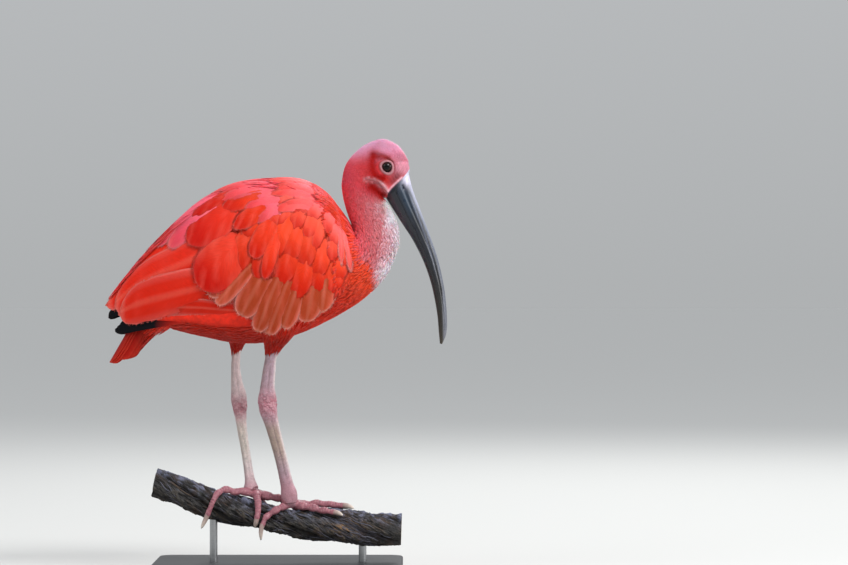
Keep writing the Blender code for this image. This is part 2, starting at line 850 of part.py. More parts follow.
def foot(side_name):
    rows = LEGS[side_name]
    made = leg_piece(
        f"foot_{side_name}", rows, TARSUS_END, len(rows) - 1, "leg_skin", 2, 14, (GAP / 2, 0.0)
    )
    pieces = [ball("pad", pad_centre(side_name), PAD_RADII, "leg_skin", 14, 8)]
    for toe in TOES:
        line = toe_line(side_name, toe)
        radii = [toe_radius(toe, 0.0)] + [toe_radius(toe, i / (TOE_STEPS - 1)) for i in range(TOE_STEPS)]
        pieces.append(tube(f"toe_{toe}", line, radii, "leg_skin", TOE_SIDES))
    return join(made, pieces, "MANIFOLD")


def claw(side_name, toe):
    """A curved claw that goes on from the end of its toe and comes down to the bark."""
    line = toe_line(side_name, toe)
    ahead = (line[-1] - line[-2]).normalized()
    start = line[-1] + ahead * 1.7 * GAP
    last, tip = FEET[side_name][toe][-2:]
    radius = toe_radius(toe, 1.0)
    held = []
    for share in (0.66, 1.0):
        x, angle, lift = (a + (b - a) * share for a, b in zip(last, tip))
        lift = lift * MM + radius * (1.05 - 0.8 * share**2) + 1.5 * GAP
        held.append(vine_point(x * MM, math.radians(angle), lift))
    reach = (held[1] - start).length
    path = interpolate_bezier(start, start + ahead * reach * 0.48, *held, len(CLAW_TAPER))
    return tube(f"claw_{side_name}_{toe}", path, [radius * share for share in CLAW_TAPER], "claw_horn", 6)


# Vine and stand


def vine_middle(x):
    """The middle of the vine at x, and the direction up across it."""
    before, here, after = (row_at(VINE_ROWS, x / MM + off)[1] for off in (-1, 0, 1))
    slope = math.atan2(after - before, 2)
    return Vector((x, 0, here * MM)), Vector((-math.sin(slope), 0, math.cos(slope)))


def vine_radius(x, turn):
    """Outer radius of the twisted strands in one direction."""
    half = row_at(VINE_ROWS, x / MM)[2] * MM
    offset, strand = STRAND_OFFSET * half, STRAND_RADIUS * half
    lobe = 2 * math.pi / VINE_STRANDS
    local = (turn - 2 * math.pi * x / VINE_PITCH + lobe / 2) % lobe - lobe / 2
    return offset * math.cos(local) + math.sqrt(strand**2 - (offset * math.sin(local)) ** 2)


def vine(sides=24, count=18):
    rings = []
    for x in steps(VINE_ROWS[0][0] * MM, VINE_ROWS[-1][0] * MM, count):
        centre, up = vine_middle(x)
        twist = 2 * math.pi * x / VINE_PITCH
        ring = []
        for i in range(sides):
            turn = 2 * math.pi * i / sides + twist
            reach = vine_radius(x, turn)
            ring.append(centre + Vector((0, math.cos(turn), 0)) * reach + up * (math.sin(turn) * reach))
        rings.append(ring)
    return loft("perch_vine", rings, "vine_bark")


def upright(name, x, low, high, radius, finish, sides=16):
    return tube(name, [Vector((x, 0, low)), Vector((x, 0, high))], [radius, radius], finish, sides)


def rod_top(x):
    return vine_middle(x)[0].z - vine_radius(x, -math.pi / 2) + ROD_IN_VINE


def perch():
    made = vine()
    for x in ROD_PLACES:
        low = rod_top(x) - 3 * ROD_IN_VINE
        cut(made, upright("rod_hole", x, low, rod_top(x) + GAP, ROD_RADIUS + GAP, "vine_bark"))
    return made


def stand_base():
    corners = []
    half = (BASE_LENGTH / 2 - BASE_CORNER, BASE_WIDTH / 2 - BASE_CORNER)
    arc = 4
    for quarter, (sx, sy) in enumerate(((1, 1), (-1, 1), (-1, -1), (1, -1))):
        for i in range(arc + 1):
            turn = math.pi / 2 * (quarter + i / arc)
            x = sx * half[0] + BASE_CORNER * math.cos(turn)
            y = sy * half[1] + BASE_CORNER * math.sin(turn)
            corners.append((x, y))
    rings = []
    low, high = BASE_EDGE * 0.4, BASE_HEIGHT - BASE_EDGE
    for inset, z in ((low, 0.0), (0.0, low), (0.0, high), (BASE_EDGE, BASE_HEIGHT)):
        shrink = [1 - inset / (BASE_LENGTH / 2), 1 - inset / (BASE_WIDTH / 2)]
        rings.append([Vector((x * shrink[0], y * shrink[1], z)) for x, y in corners])
    made = loft("stand_base", rings, "charcoal_lacquer")
    for x in ROD_PLACES:
        floor = BASE_HEIGHT - ROD_IN_BASE - GAP
        cut(made, upright("rod_socket", x, floor, BASE_HEIGHT * 2, ROD_RADIUS + GAP, "charcoal_lacquer"))
    return made


def main():
    clear_scene()
    shade(torso())
    shade(neck())
    shade(head())
    eye(1, "eye_left")
    eye(-1, "eye_right")
    upper = bill("bill_upper", MOUTH_SHARE + 0.012, 1.0)
    for side in (1, -1):
        cut(upper, nostril_cutter(side))
    shade(upper)
    shade(bill("bill_lower", 0.0, MOUTH_SHARE - 0.012))
    wing(1, "wing_left")
    wing(-1, "wing_right")
    tail()
    for side, rows in LEGS.items():
        thigh = leg_piece(f"thigh_{side}", rows, 0, THIGH_END, "scarlet_feather", 6, 16, (0.0, GAP / 2))
        shade(cut(thigh, torso(GAP, "torso_room")))
        gaps = (GAP / 2, GAP / 2)
        shade(leg_piece(f"shank_{side}", rows, THIGH_END, SHANK_END, "leg_skin", 8, 12, gaps))
        shade(leg_piece(f"tarsus_{side}", rows, SHANK_END, TARSUS_END, "leg_skin", 7, 12, gaps))
        shade(foot(side))
        for toe in TOES:
            claw(side, toe)
    shade(perch())
    for number, x in enumerate(ROD_PLACES, 1):
        low = BASE_HEIGHT - ROD_IN_BASE
        shade(upright(f"stand_rod_{number}", x, low, rod_top(x), ROD_RADIUS, "brushed_steel"))
    shade(stand_base(), 30)


main()
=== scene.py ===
import math

import bpy
import numpy as np
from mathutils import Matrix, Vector, noise
from mathutils.bvhtree import BVHTree
from mathutils.geometry import interpolate_bezier
from mathutils.kdtree import KDTree


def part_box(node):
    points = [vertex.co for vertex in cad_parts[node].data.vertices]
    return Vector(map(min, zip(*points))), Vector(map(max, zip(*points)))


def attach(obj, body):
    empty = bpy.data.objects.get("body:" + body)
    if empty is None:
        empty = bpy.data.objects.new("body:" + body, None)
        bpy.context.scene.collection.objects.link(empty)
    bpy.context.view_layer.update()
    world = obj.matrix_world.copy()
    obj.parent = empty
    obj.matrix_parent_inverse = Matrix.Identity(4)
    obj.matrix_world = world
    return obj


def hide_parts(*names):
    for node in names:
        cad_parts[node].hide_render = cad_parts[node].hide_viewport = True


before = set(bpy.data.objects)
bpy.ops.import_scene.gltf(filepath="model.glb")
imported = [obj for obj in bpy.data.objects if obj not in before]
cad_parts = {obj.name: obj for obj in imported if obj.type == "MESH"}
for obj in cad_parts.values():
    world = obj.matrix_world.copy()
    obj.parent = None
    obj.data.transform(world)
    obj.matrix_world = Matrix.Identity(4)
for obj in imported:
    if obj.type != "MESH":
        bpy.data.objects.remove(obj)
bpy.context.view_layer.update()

MM = 0.001
draw = np.random.default_rng(23)
# Size of one feather's patch on the bake map, and cells along each side of a surface that feathers are sown on
BAKE_PATCH, SOWING = 0.003, 160

# All tables are in millimetres, and in degrees where they give an angle. They are the model's own measures.
# Rump to bill: upper outline as x and z, lower outline as x and z, half the width.
BODY = (
    (-104, 250, -99, 226, 9), (-90, 274, -88, 221.5, 19), (-68, 304, -66, 216, 30),
    (-38, 333, -37, 210.5, 39), (-6, 347, -8, 211.5, 43.5), (20, 354.5, 20, 219.5, 44),
    (40, 347.5, 44, 230.5, 41.5), (53.5, 332, 67, 243.5, 37.5), (62.5, 319, 84, 256.5, 32.5),
    (67, 313.5, 95.5, 269.5, 27.5), (67, 317.5, 103.5, 285, 23), (64, 324.5, 108, 299, 20),
    (60.8, 333.5, 107.5, 314, 18), (58, 345, 102.5, 328, 17), (57.3, 356, 97, 337.5, 17),
    (62, 373, 94.5, 341, 17.5), (76, 387.5, 94.5, 342, 17.8), (92, 393.5, 95.5, 342, 17.8),
    (106, 388.5, 96.5, 341.5, 16.8), (115, 378, 97, 341, 14.2), (118.4, 369, 97.4, 340.5, 11.2),
    (117.8, 362, 97.8, 340, 8.8),
)
# Body rows where the neck and the head start
NECK_START, HEAD_START = 9.0, 13.4
BILL = (
    (116.6, 365.5, 96.2, 344.5, 9.9), (117.8, 362, 97.8, 340, 8.9), (121.4, 348, 106.1, 326.6, 7.6),
    (128.9, 328, 113.6, 314.9, 6.6), (136.5, 307.7, 121.5, 302.6, 5.8), (144.1, 284.9, 131.4, 282.4, 5.0),
    (149.6, 259.6, 138.3, 261.6, 4.5), (152.0, 234.4, 143.0, 237.5, 3.9), (151.4, 219.0, 144.6, 220.2, 3.2),
    (147.6, 209.4, 145.6, 210.2, 1.0),
)
MOUTH = 0.38
EYE = (97.9, 12.0, 368.6)
EYE_RADIUS = 6.0
# Folded wing: x, top, virtual foot of the section, half the width.
WING = (
    (-158, 244, 218, 5), (-145, 260.5, 208, 13), (-125, 286, 204, 25), (-100, 312, 200, 37),
    (-70, 339, 195, 47.5), (-40, 354, 190, 54), (-8, 358.6, 187, 57), (20, 358, 188, 56.5),
    (42, 348, 200, 52.5), (58, 329, 220, 45), (68, 308, 246, 35),
)
# Flesh of the wing: x, upper and lower edge as angles, depth.
WING_FLESH = (
    (-108, 82, -26, 3.0), (-90, 84, -30, 5.5), (-50, 86, -36, 9.5), (0, 84, -32, 10.5),
    (25, 70, -26, 10.5), (45, 58, -18, 9.0), (60, 40, -2, 7.0),
)
TAIL_STUMP = (
    (-92, 256, -90, 228, 11), (-106, 249, -99, 226, 10), (-122, 241, -108, 221, 8.5), (-131, 229, -118, 213, 6),
)
# Legs: middle of the section, half its depth along the bird, half its width.
LEGS = {
    "right": (
        (6, -22, 246, 27, 15), (2, -23, 229, 20, 14), (-2, -22, 214, 12, 10.5), (-5, -21, 201, 5.5, 5),
        (-7.2, -19.6, 186, 5.6, 4.3), (-8.6, -18.4, 172, 6.4, 4.9), (-8.8, -17.2, 161, 8.2, 6.3),
        (-8.2, -16.6, 152, 8.1, 6.2), (-6.2, -15.8, 143, 6.7, 4.9), (-2.8, -14.2, 130, 5.8, 4.2),
        (3.4, -11.6, 106, 5.4, 4), (8, -9.2, 85, 5.7, 4.6), (10, -8, 76, 7.2, 5.8), (10.8, -6, 68, 7, 6),
    ),
    "left": (
        (-31, 20, 244, 22, 13), (-35, 21, 227, 16, 12), (-37.8, 21, 214, 9.5, 8.5), (-39, 20.6, 202, 4.2, 4.6),
        (-39.4, 19.4, 189, 4, 4.3), (-38.4, 18.4, 175, 5.1, 5), (-36.6, 17.4, 163, 6.9, 6.6),
        (-35.6, 16.6, 154, 6.8, 6.4), (-34.6, 15.6, 144, 5.2, 5), (-33, 13.8, 131, 4.3, 4.3),
        (-29.2, 10.8, 108, 3.9, 4.1), (-26, 7.8, 88, 4.4, 4.6), (-24.9, 6.6, 80, 6.6, 5.8), (-24.6, 5.4, 73, 7, 6.4),
    ),
}
# How deep the flesh of the thigh lies under its coat, by row of the leg
THIGH_DEPTH = ((0, 1, 2.4, 2.7), (2.4, 2.2, 1.4, 1.2))
VINE = (
    (-111, 85, 12.4), (-73, 70.8, 12.4), (-38, 60.2, 13.0), (3, 50.8, 10.8), (33, 47.2, 13.8),
    (75, 44.4, 14.4), (111, 42.2, 13.0),
)
VINE_PITCH = 210.0
TOE_RADII = {"hallux": (3.3, 2.2), "inner": (3.4, 2.3), "middle": (3.6, 2.4), "outer": (3.4, 2.3)}
# Toes: x, angle round the vine (90 is its top, 180 the near side), height over the bark. The last is the claw's end.
FEET = {
    "right": {
        "pad": (10.8, 98),
        "hallux": ((4, 116, 0), (-3, 142, 0), (-10, 172, 0), (-12, 200, 2), (-10.5, 230, 12)),
        "inner": ((19, 74, 0), (29, 56, 0), (35, 28, 0), (38, 4, 0), (39.5, -20, 0)),
        "middle": ((21, 93, 0), (34, 91, 0), (47, 92, 0), (58, 94, 0), (67.5, 99, 0)),
        "outer": ((20, 110, 0), (31, 118, 0), (41, 126, 0), (50, 132, 0), (58, 139, 0)),
    },
    "left": {
        "pad": (-24.6, 80),
        "hallux": ((-36, 96, 0), (-50, 112, 0), (-57, 145, 1), (-59.5, 208, 5), (-61, 232, 14)),
        "inner": ((-23, 104, 0), (-20.5, 130, 0), (-18.5, 160, 0), (-18, 188, 0), (-18, 217, 2)),
        "middle": ((-13, 80, 2), (-2, 75, 4), (8, 58, 3), (15, 42, 1), (20, 30, 0)),
        "outer": ((-20, 60, 0), (-15, 36, 0), (-9, 13, 0), (-4, -8, 0), (-1, -32, 0)),
    },
}


# Curves and surfaces


def smooth_rows(rows, t):
    """Rows of numbers joined by one smooth curve, where t counts the rows."""
    rows = np.asarray(rows, float)
    ends = np.vstack([2 * rows[0] - rows[1], rows, 2 * rows[-1] - rows[-2]])
    t = np.asarray(t, float)
    i = np.clip(np.floor(t).astype(int), 0, len(rows) - 2)
    f = (t - i)[..., None]
    a, b, c, d = ends[i], ends[i + 1], ends[i + 2], ends[i + 3]
    return b + 0.5 * f * ((c - a) + f * ((2 * a - 5 * b + 4 * c - d) + f * (3 * (b - c) + d - a)))


def rows_at(rows, x):
    """The other columns of rows for values of the first."""
    dense = smooth_rows(rows, np.linspace(0, len(rows) - 1, 500))
    return [np.interp(x, dense[:, 0], dense[:, k]) for k in range(1, dense.shape[1])]


def unit(v):
    return v / np.maximum(np.linalg.norm(v, axis=-1, keepdims=True), 1e-9)


def ramp(value, low, high):
    """0 up to low and 1 from high on, with a smooth rise between; it falls if high is the lower."""
    s = np.clip((value - low) / (high - low), 0, 1)
    return s * s * (3 - 2 * s)


def bell(value, width):
    """1 where the value is 0, falling off within about the width on both sides."""
    return np.exp(-((value / width) ** 2))


def ring_of(count):
    """Angles that share out a full turn."""
    return np.linspace(0, 2 * math.pi, count, endpoint=False)


def crossed(a, b):
    return np.meshgrid(a, b, indexing="ij")


def facing(normals, way):
    """Normals, each on the side that way points to."""
    return np.where(np.sum(normals * way, -1, keepdims=True) > 0, normals, -normals)


def section_point(rows, t, turn, inset, fullness=0.92):
    """A point of a body section: t counts the rows, turn runs round from the upper outline."""
    row = smooth_rows(rows, t)
    top, low = row[..., 0:2], row[..., 2:4]
    up = unit(top - low)
    middle = (top + low) / 2
    half = np.linalg.norm(top - low, axis=-1) / 2 - inset
    out = np.sign(np.sin(turn)) * np.abs(np.sin(turn)) ** fullness
    side = (row[..., 4] - inset) * out
    rise = half * np.cos(turn)
    return np.stack([middle[..., 0] + up[..., 0] * rise, side, middle[..., 1] + up[..., 1] * rise], -1)


def coat_depth(t, turn=None):
    """How deep the coat lies over the body's flesh, least under the chin."""
    depth = np.interp(t, [0, 2, 8, 10, 13, 14.5, 16, 21], [2.2, 3.2, 3.2, 2.6, 1.7, 1.1, 0.8, 0.3])
    if turn is None:
        return depth
    chin = ramp(t, 13.2, 15) * ramp(-np.cos(turn), 0.55, 0.95)
    return depth * (1 - chin) + 0.25 * chin


def body_point(t, turn, inset=None):
    return section_point(BODY, t, turn, coat_depth(t, turn) if inset is None else inset)


def wing_point(x, angle, lift, side):
    """A point over the folded wing, where angle runs from belly to spine and lift is the height off its flesh."""

    def place(at_x, at_angle):
        top, foot, half = rows_at(WING, at_x)
        out = half * np.maximum(np.cos(at_angle), 0) ** 0.86
        return np.stack([at_x + 0 * out, out, foot + (top - foot) * (0.5 + 0.5 * np.sin(at_angle))], -1)

    along = place(x + 1, angle) - place(x - 1, angle)
    around = place(x, angle + 0.02) - place(x, angle - 0.02)
    out = unit(np.cross(around, along))
    out = np.where(out[..., 1:2] < 0, -out, out)
    point = place(x, angle) + out * np.asarray(lift - 2.6)[..., None]
    point[..., 1] = side * np.maximum(point[..., 1], 0.15)
    return point


def leg_point(side_name, t, turn, inset=0.0):
    """A point on a leg's skin: t counts the rows down the leg, turn runs round from its front."""
    row = smooth_rows(LEGS[side_name], t)
    ahead = unit(smooth_rows(LEGS[side_name], t + 0.02)[..., :3] - smooth_rows(LEGS[side_name], t - 0.02)[..., :3])
    side = unit(np.array([0, 1, 0]) - ahead * ahead[..., 1:2])
    fore = np.cross(side, ahead)
    depth = (row[..., 3] - inset) * np.cos(turn)
    width = (row[..., 4] - inset) * np.sin(turn)
    return row[..., :3] + fore * depth[..., None] + side * width[..., None]


# Markings, the same for skin and feathers


def shade(code):
    """An sRGB hex colour as linear numbers."""
    values = np.array([int(code[i : i + 2], 16) / 255 for i in (0, 2, 4)])
    return np.where(values <= 0.04045, values / 12.92, ((values + 0.055) / 1.055) ** 2.4)


def mix(colour, *layers):
    """A colour with layers of (colour, weight) laid over it in turn; colours are linear numbers or hex."""
    colour = shade(colour) if isinstance(colour, str) else colour
    for other, weight in layers:
        other = shade(other) if isinstance(other, str) else other
        colour = colour + (other - colour) * np.asarray(weight)[..., None]
    return colour


def line_distance(x, z, line):
    """How far places in the side view are from a line of points."""
    best = np.full(np.shape(x), 1e9)
    for (ax, az), (bx, bz) in zip(line[:-1], line[1:]):
        dx, dz = bx - ax, bz - az
        s = np.clip(((x - ax) * dx + (z - az) * dz) / (dx * dx + dz * dz), 0, 1)
        best = np.minimum(best, np.hypot(x - ax - dx * s, z - az - dz * s))
    return best


def near(x, z, line, width):
    """1 on a line of points in the side view, falling off within about the width."""
    return bell(line_distance(x, z, line), width)


BROW = ((86, 380.2), (89.5, 381), (94, 380), (99, 377.2), (104, 372.9), (107.8, 369.8))
GAPE = ((80, 358.8), (85, 357.9), (89.5, 356.6), (93.5, 353.6), (96.8, 349.6), (99.5, 345.3))
RED_FACE = ((87.6, 380), (86.6, 374), (87.2, 366), (90.5, 359.5), (96, 357))
CHEEK = ((85.5, 352.5), (90, 348.5), (93.5, 343), (94.8, 338))


def eye_shape(x, z):
    """Distance from the eye's middle, with its bare ring drawn out to a teardrop."""
    dx, dz = x - EYE[0] - 0.35, z - EYE[2] + 0.3
    angle = np.arctan2(dz, dx)
    ahead = np.maximum(np.cos(angle - math.radians(-62)), 0) ** 5
    behind = np.maximum(np.cos(angle - math.radians(160)), 0) ** 6
    return np.hypot(dx, dz) / (1 + 0.2 * ahead + 0.1 * behind)


def blend_row(share, stops):
    """Colours along a row of (place, hex) stops."""
    places = [p for p, _ in stops]
    codes = np.array([shade(c) for _, c in stops])
    return np.stack([np.interp(share, places, codes[:, k]) for k in range(3)], -1)


# Where the dark horn ends on the side of the head
EDGE = ((97.6, 340.0), (99.0, 346.0), (102.1, 349.9), (107.1, 354.6), (111.5, 358.6), (116.0, 364.0), (119.0, 369.0))


def horn_over_face(p):
    """1 where the dark horn of the bill reaches back over the sides of the head."""
    x, z = p[..., 0], p[..., 2]
    above = ramp(z - np.interp(x, (97, 98, 117.8), (339.5, 339.5, 361)), -1.5, -0.5)
    return ramp(np.interp(x, *zip(*EDGE)) - z, 0.1, 1.1) * ramp(x, 96.8, 98.2) * above


def horn_colour(p):
    """Slate bill, browner at its tip, pale and lilac over the root of its ridge, with painted sheen on its sides and a
    painted highlight down its ridge.
    """
    x, z = p[..., 0], p[..., 2]
    along = np.clip((362 - z) / 152, 0, 1)
    off = x - np.interp(z, [210, 259, 285, 308, 328, 348, 366], [150.5, 149.6, 144.1, 136.5, 128.9, 121.4, 117])
    return mix(
        blend_row(along, ((0, "201A28"), (0.1, "141A24"), (0.5, "12161E"), (0.8, "1E1C17"), (1, "30291C"))),
        # Painted sheen: a dark teal sheen along the side and a pale bluish streak nearer the ridge
        ("24384C", 0.7 * bell(off + 9, 3.5) * ramp(z, 318, 340)),
        ("9AA0B4", 0.4 * bell(off + 4.6, 0.8) * ramp(z, 262, 300) * ramp(350 - z, 0, 12)),
        # Painted highlight along the ridge
        ("B2B8CC", ramp(off, -3.0, -0.6) * (0.24 + 0.46 * ramp(z, 280, 345))),
        # Pale lilac root of the ridge
        ("E4DEF4", 0.88 * near(x, z, ((116, 368), (115, 363), (117.4, 357.5)), 6.0)),
        # More painted highlight on the ridge near its root
        ("B8B8CC", 0.6 * ramp(off, -4.4, -1.0) * ramp(z, 314, 352)),
        ("3A1E2A", 0.6 * near(x, z, ((99.5, 344), (106, 331), (112, 320)), 2.6)),
    )


NECK_ROW = (
    (0.0, "FF4854"), (0.25, "EC545E"), (0.5, "D8646C"), (0.72, "D87880"), (0.86, "F0B4BE"), (0.95, "FFDEE8"),
    (1.0, "FFECF4"),
)


def marking(p):
    """The bird's colour at points given in millimetres, with painted sheen on the back and painted shade under the
    belly and on the bare face.
    """
    x, y, z = p[..., 0], np.abs(p[..., 1]), p[..., 2]
    ragged = 2.4 * np.sin(x * 0.8 + y * 0.5) + 1.8 * np.sin(z * 1.1 - y * 0.8) + 1.2 * np.sin(x * 2.1 - z * 1.7)
    border = np.interp(x, [50, 60, 67, 77.5, 86, 92, 98, 106], [331, 322, 311, 291, 286, 272, 260, 250])
    rear = np.interp(z, [262, 285, 300, 315, 330, 345, 360], [67, 66.5, 66.5, 62, 60, 57.5, 57.5])
    front = np.interp(z, [256, 270, 285, 299, 314, 328, 338], [82, 93, 100, 104.5, 104.5, 99.5, 95])
    neck_row = blend_row((x - rear) / (front - rear) + 0.02 * ragged, NECK_ROW)
    face = mix(
        "EE5460",
        ("FFAAC8", ramp(z + 0.12 * (x - 80), 369, 385)),
        ("E08CA0", ramp(x, 96, 110) * ramp(388 - z, 0, 18) * ramp(z, 356, 366)),
        ("EA5466", ramp(72 - x, 0, 12) * ramp(384 - z, 0, 20)),
    )
    # Painted shade: bare skin darkened to match the shade that falls among the feathers next to it
    face = face * (1 - 0.3 * bareness(p)[..., None] * ramp(z, 356, 362)[..., None])
    crimson = ramp(y, 3, 9)
    spots = ramp(np.sin(x * 2.3 + z * 1.1) * np.sin(z * 2.7 - x * 0.6), 0.1, 0.7)
    ring = eye_shape(x, z)
    colour = mix(
        "E8280C",
        # Painted sheen: pinker over the top of the back
        ("F45E74", 0.7 * ramp(z, 316, 352) * ramp(66 - x, 0, 40)),
        ("FA4E26", 0.6 * ramp(x, 50, 80) * ramp(z, 246, 274)),
        # Painted shade: deeper red under the belly
        ("9C0E02", 0.85 * ramp(238 - z, 0, 26)),
        (neck_row, ramp(z - border + ragged, -5, 6)),
        (face, ramp(z + 0.45 * (x - 80), 338, 352)),
        ("621620", 0.88 * near(x, z, ((96, 357.5), (102, 356), (107, 359.5)), 5.2) * crimson),
        ("8C2030", 0.45 * spots * near(x, z, ((103, 365), (110, 365)), 5.5)),
        ("BC0A04", 0.95 * near(x, z, RED_FACE, 5.2) * ramp(y, 5, 12)),
        ("DC2C22", 0.4 * near(x, z, ((79, 376), (80, 360)), 6.5) * crimson),
        ("B0140E", 0.85 * near(x, z, ((88.5, 378), (95, 377.6), (100, 375.4)), 3.0) * crimson),
        ("A80C08", near(x, z, CHEEK, 6.8) * ramp(y, 1, 7)),
        ("78100E", 0.3 * near(x, z, BROW, 0.9) * crimson),
        ("C8969E", 0.95 * near(x, z, GAPE, 1.9) * crimson),
        ("78100C", 0.7 * bell(ring - 7.0, 0.7) * ramp(z, 362, 369) * crimson),
        ("A8747A", ramp(6.7 - ring, 0, 0.9) * ramp(y, 10, 13)),
        ("6A3438", 0.8 * ramp(5.0 - ring, 0, 0.7) * ramp(y, 10, 13)),
        ("FFF8FC", 0.95 * near(x, z, ((96.5, 337.5), (99.5, 333), (102, 328)), 4.2) * ramp(342 - z, 0, 3)),
        (horn_colour(p), horn_over_face(p)),
        ("DCA8B6", 0.85 * near(x, z - 0.5, EDGE[1:5], 0.9)),
    )
    return np.clip(colour, 0, 1)


def bareness(p):
    """1 on the bare skin of the face, 0 where feathers grow."""
    x, y, z = p[..., 0], np.abs(p[..., 1]), p[..., 2]
    lores = ramp(x - np.interp(z, [340, 352, 360, 366, 380], [98, 95, 96.5, 103, 107]), -5, 5) * ramp(390 - z, 0, 26)
    ring = ramp(7.6 - eye_shape(x, z), 0, 1.0) * ramp(y, 9, 12)
    gape = ramp(near(x, z, GAPE, 1.8), 0.3, 0.7) * ramp(y, 7, 10)
    return np.clip(np.maximum.reduce([lores * ramp(z, 338, 342), ring, gape, horn_over_face(p)]), 0, 1)


def face_relief(p):
    """How far the bare face stands out from the head, with its lids, folds, creases and gape."""
    x, y, z = p[..., 0], np.abs(p[..., 1]), p[..., 2]
    ring = eye_shape(x, z)
    out = 1.1 * bell(ring - 5.2, 0.9) - 0.4 * bell(ring - 6.8, 0.5) + 0.25 * bell(ring - 7.8, 0.6)
    out -= 0.12 * ramp(np.sin(ring * 6.4), 0.2, 1) * ramp(ring, 4.8, 5.6) * ramp(7.6 - ring, 0, 1)
    out -= 7.0 * ramp(4.2 - ring, 0, 0.75)
    out += 0.25 * near(x, z - 1.9, BROW, 1.9) - 0.15 * near(x, z, BROW, 0.8)
    out += 1.2 * near(x, z, GAPE, 1.6) - 0.6 * near(x, z + 2.9, GAPE, 0.9)
    lores = near(x, z, ((100, 361), (107, 358)), 5.0) * ramp(ring, 7.2, 8.6)
    crease = np.sin((x * 0.75 + z * 0.66) * 2.1 + 0.8 * np.sin(x * 0.9 - z * 0.7))
    out += 0.22 * lores * crease + 0.45 * near(x, z - 0.6, EDGE[1:6], 0.8) + 0.3 * horn_over_face(p)
    return out * ramp(y, 7, 11)


# Pieces


def ride(made, nodes):
    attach(made, "root")
    if nodes:
        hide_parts(*nodes)
    return made


def set_tint(mesh, colours):
    colours = np.hstack([colours, np.ones((len(colours), 1))]).astype(np.float32)
    mesh.color_attributes.new("tint", "FLOAT_COLOR", "POINT").data.foreach_set("color", colours.ravel())


def mesh_object(name, points, faces, finish, tint=None, vane=None, bake=None):
    """A mesh object from arrays: points in millimetres, faces that all have as many corners."""
    mesh = bpy.data.meshes.new(name)
    a, b, c = (points[faces[:, k]] for k in range(3))
    if np.einsum("ij,ij->i", a, np.cross(b, c)).sum() < 0:
        faces = faces[:, ::-1]
    faces = np.ascontiguousarray(faces, dtype=np.int32)
    mesh.vertices.add(len(points))
    mesh.vertices.foreach_set("co", (points * MM).astype(np.float32).ravel())
    mesh.loops.add(faces.size)
    mesh.loops.foreach_set("vertex_index", faces.ravel())
    mesh.polygons.add(len(faces))
    mesh.polygons.foreach_set("loop_start", np.arange(0, faces.size, faces.shape[1], dtype=np.int32))
    mesh.update(calc_edges=True)
    mesh.shade_smooth()
    for layer, values in (("OFBake", bake), ("vane", vane)):
        if values is not None:
            mesh.uv_layers.new(name=layer).uv.foreach_set("vector", values[faces.ravel()].astype(np.float32).ravel())
    if tint is not None:
        set_tint(mesh, tint)
    mesh.materials.append(finish)
    made = bpy.data.objects.new(name, mesh)
    bpy.context.scene.collection.objects.link(made)
    return made


def crisp(made):
    """Keeps a piece's edges sharp where its faces meet steeply."""
    made.data.set_sharp_from_angle(angle=math.radians(50))
    return made


def mesh_points(mesh):
    found = np.empty(len(mesh.vertices) * 3, np.float32)
    mesh.vertices.foreach_get("co", found)
    return found.reshape(-1, 3).astype(float) / MM


def loft_arrays(grid):
    """Points and faces of a closed loft over a grid of rings, with a fan of faces over each end."""
    rings, sides, _ = grid.shape
    points = np.vstack([grid.reshape(-1, 3), grid[0].mean(0), grid[-1].mean(0)])
    i, j = np.meshgrid(np.arange(rings - 1), np.arange(sides), indexing="ij")
    a = (i * sides + j).ravel()
    b = (i * sides + (j + 1) % sides).ravel()
    quads = np.vstack([np.stack([a, b, b + sides], 1), np.stack([a, b + sides, a + sides], 1)])
    k = np.arange(sides)
    last = (rings - 1) * sides
    first_fan = np.stack([(k + 1) % sides, k, np.full(sides, rings * sides)], 1)
    last_fan = np.stack([last + k, last + (k + 1) % sides, np.full(sides, rings * sides + 1)], 1)
    return points, np.vstack([quads, first_fan, last_fan])


def tube_grid(line, radii, sides):
    """Rings of a round tube along a line of points, carried along it without twist."""
    line = np.asarray(line, float)
    ahead = unit(np.gradient(line, axis=0))
    side = np.cross([0, 0, 1], ahead[0])
    side = np.array([0.0, 1.0, 0.0]) if np.linalg.norm(side) < 0.3 else side
    turn = ring_of(sides)
    rings = []
    for point, direction, radius in zip(line, ahead, radii):
        side = unit(side - direction * np.dot(side, direction))
        up = np.cross(direction, side)
        rings.append(point + radius * (np.cos(turn)[:, None] * side + np.sin(turn)[:, None] * up))
    return np.array(rings)


def apply_modifiers(made):
    """Makes the result of a piece's modifiers its own mesh."""
    bpy.context.view_layer.update()
    graph = bpy.context.evaluated_depsgraph_get()
    done = bpy.data.meshes.new_from_object(made.evaluated_get(graph))
    made.modifiers.clear()
    made.data = done


def fuse(made, others):
    """Joins closed meshes into made as one surface."""
    for other in others:
        union = made.modifiers.new("union", "BOOLEAN")
        union.operation = "UNION"
        union.object = other
        union.solver = "MANIFOLD"
    apply_modifiers(made)
    for other in others:
        bpy.data.objects.remove(other)


# Materials


def rgba(code):
    return (*shade(code), 1.0)


def add(tree, kind, inputs=None, out=0, stops=(), **settings):
    """Adds one shader node: inputs are values or other nodes' outputs, stops are places and colours of a ramp."""
    made = tree.nodes.new("ShaderNode" + kind)
    for key, value in settings.items():
        setattr(made, key, value)
    for socket, value in (inputs or {}).items():
        if isinstance(value, bpy.types.NodeSocket):
            tree.links.new(value, made.inputs[socket])
        else:
            made.inputs[socket].default_value = value
    for number, (place, code) in enumerate(stops):
        row = made.color_ramp.elements
        stop = row[number] if number < len(row) else row.new(place)
        stop.position, stop.color = place, rgba(code)
    return made.outputs[out]


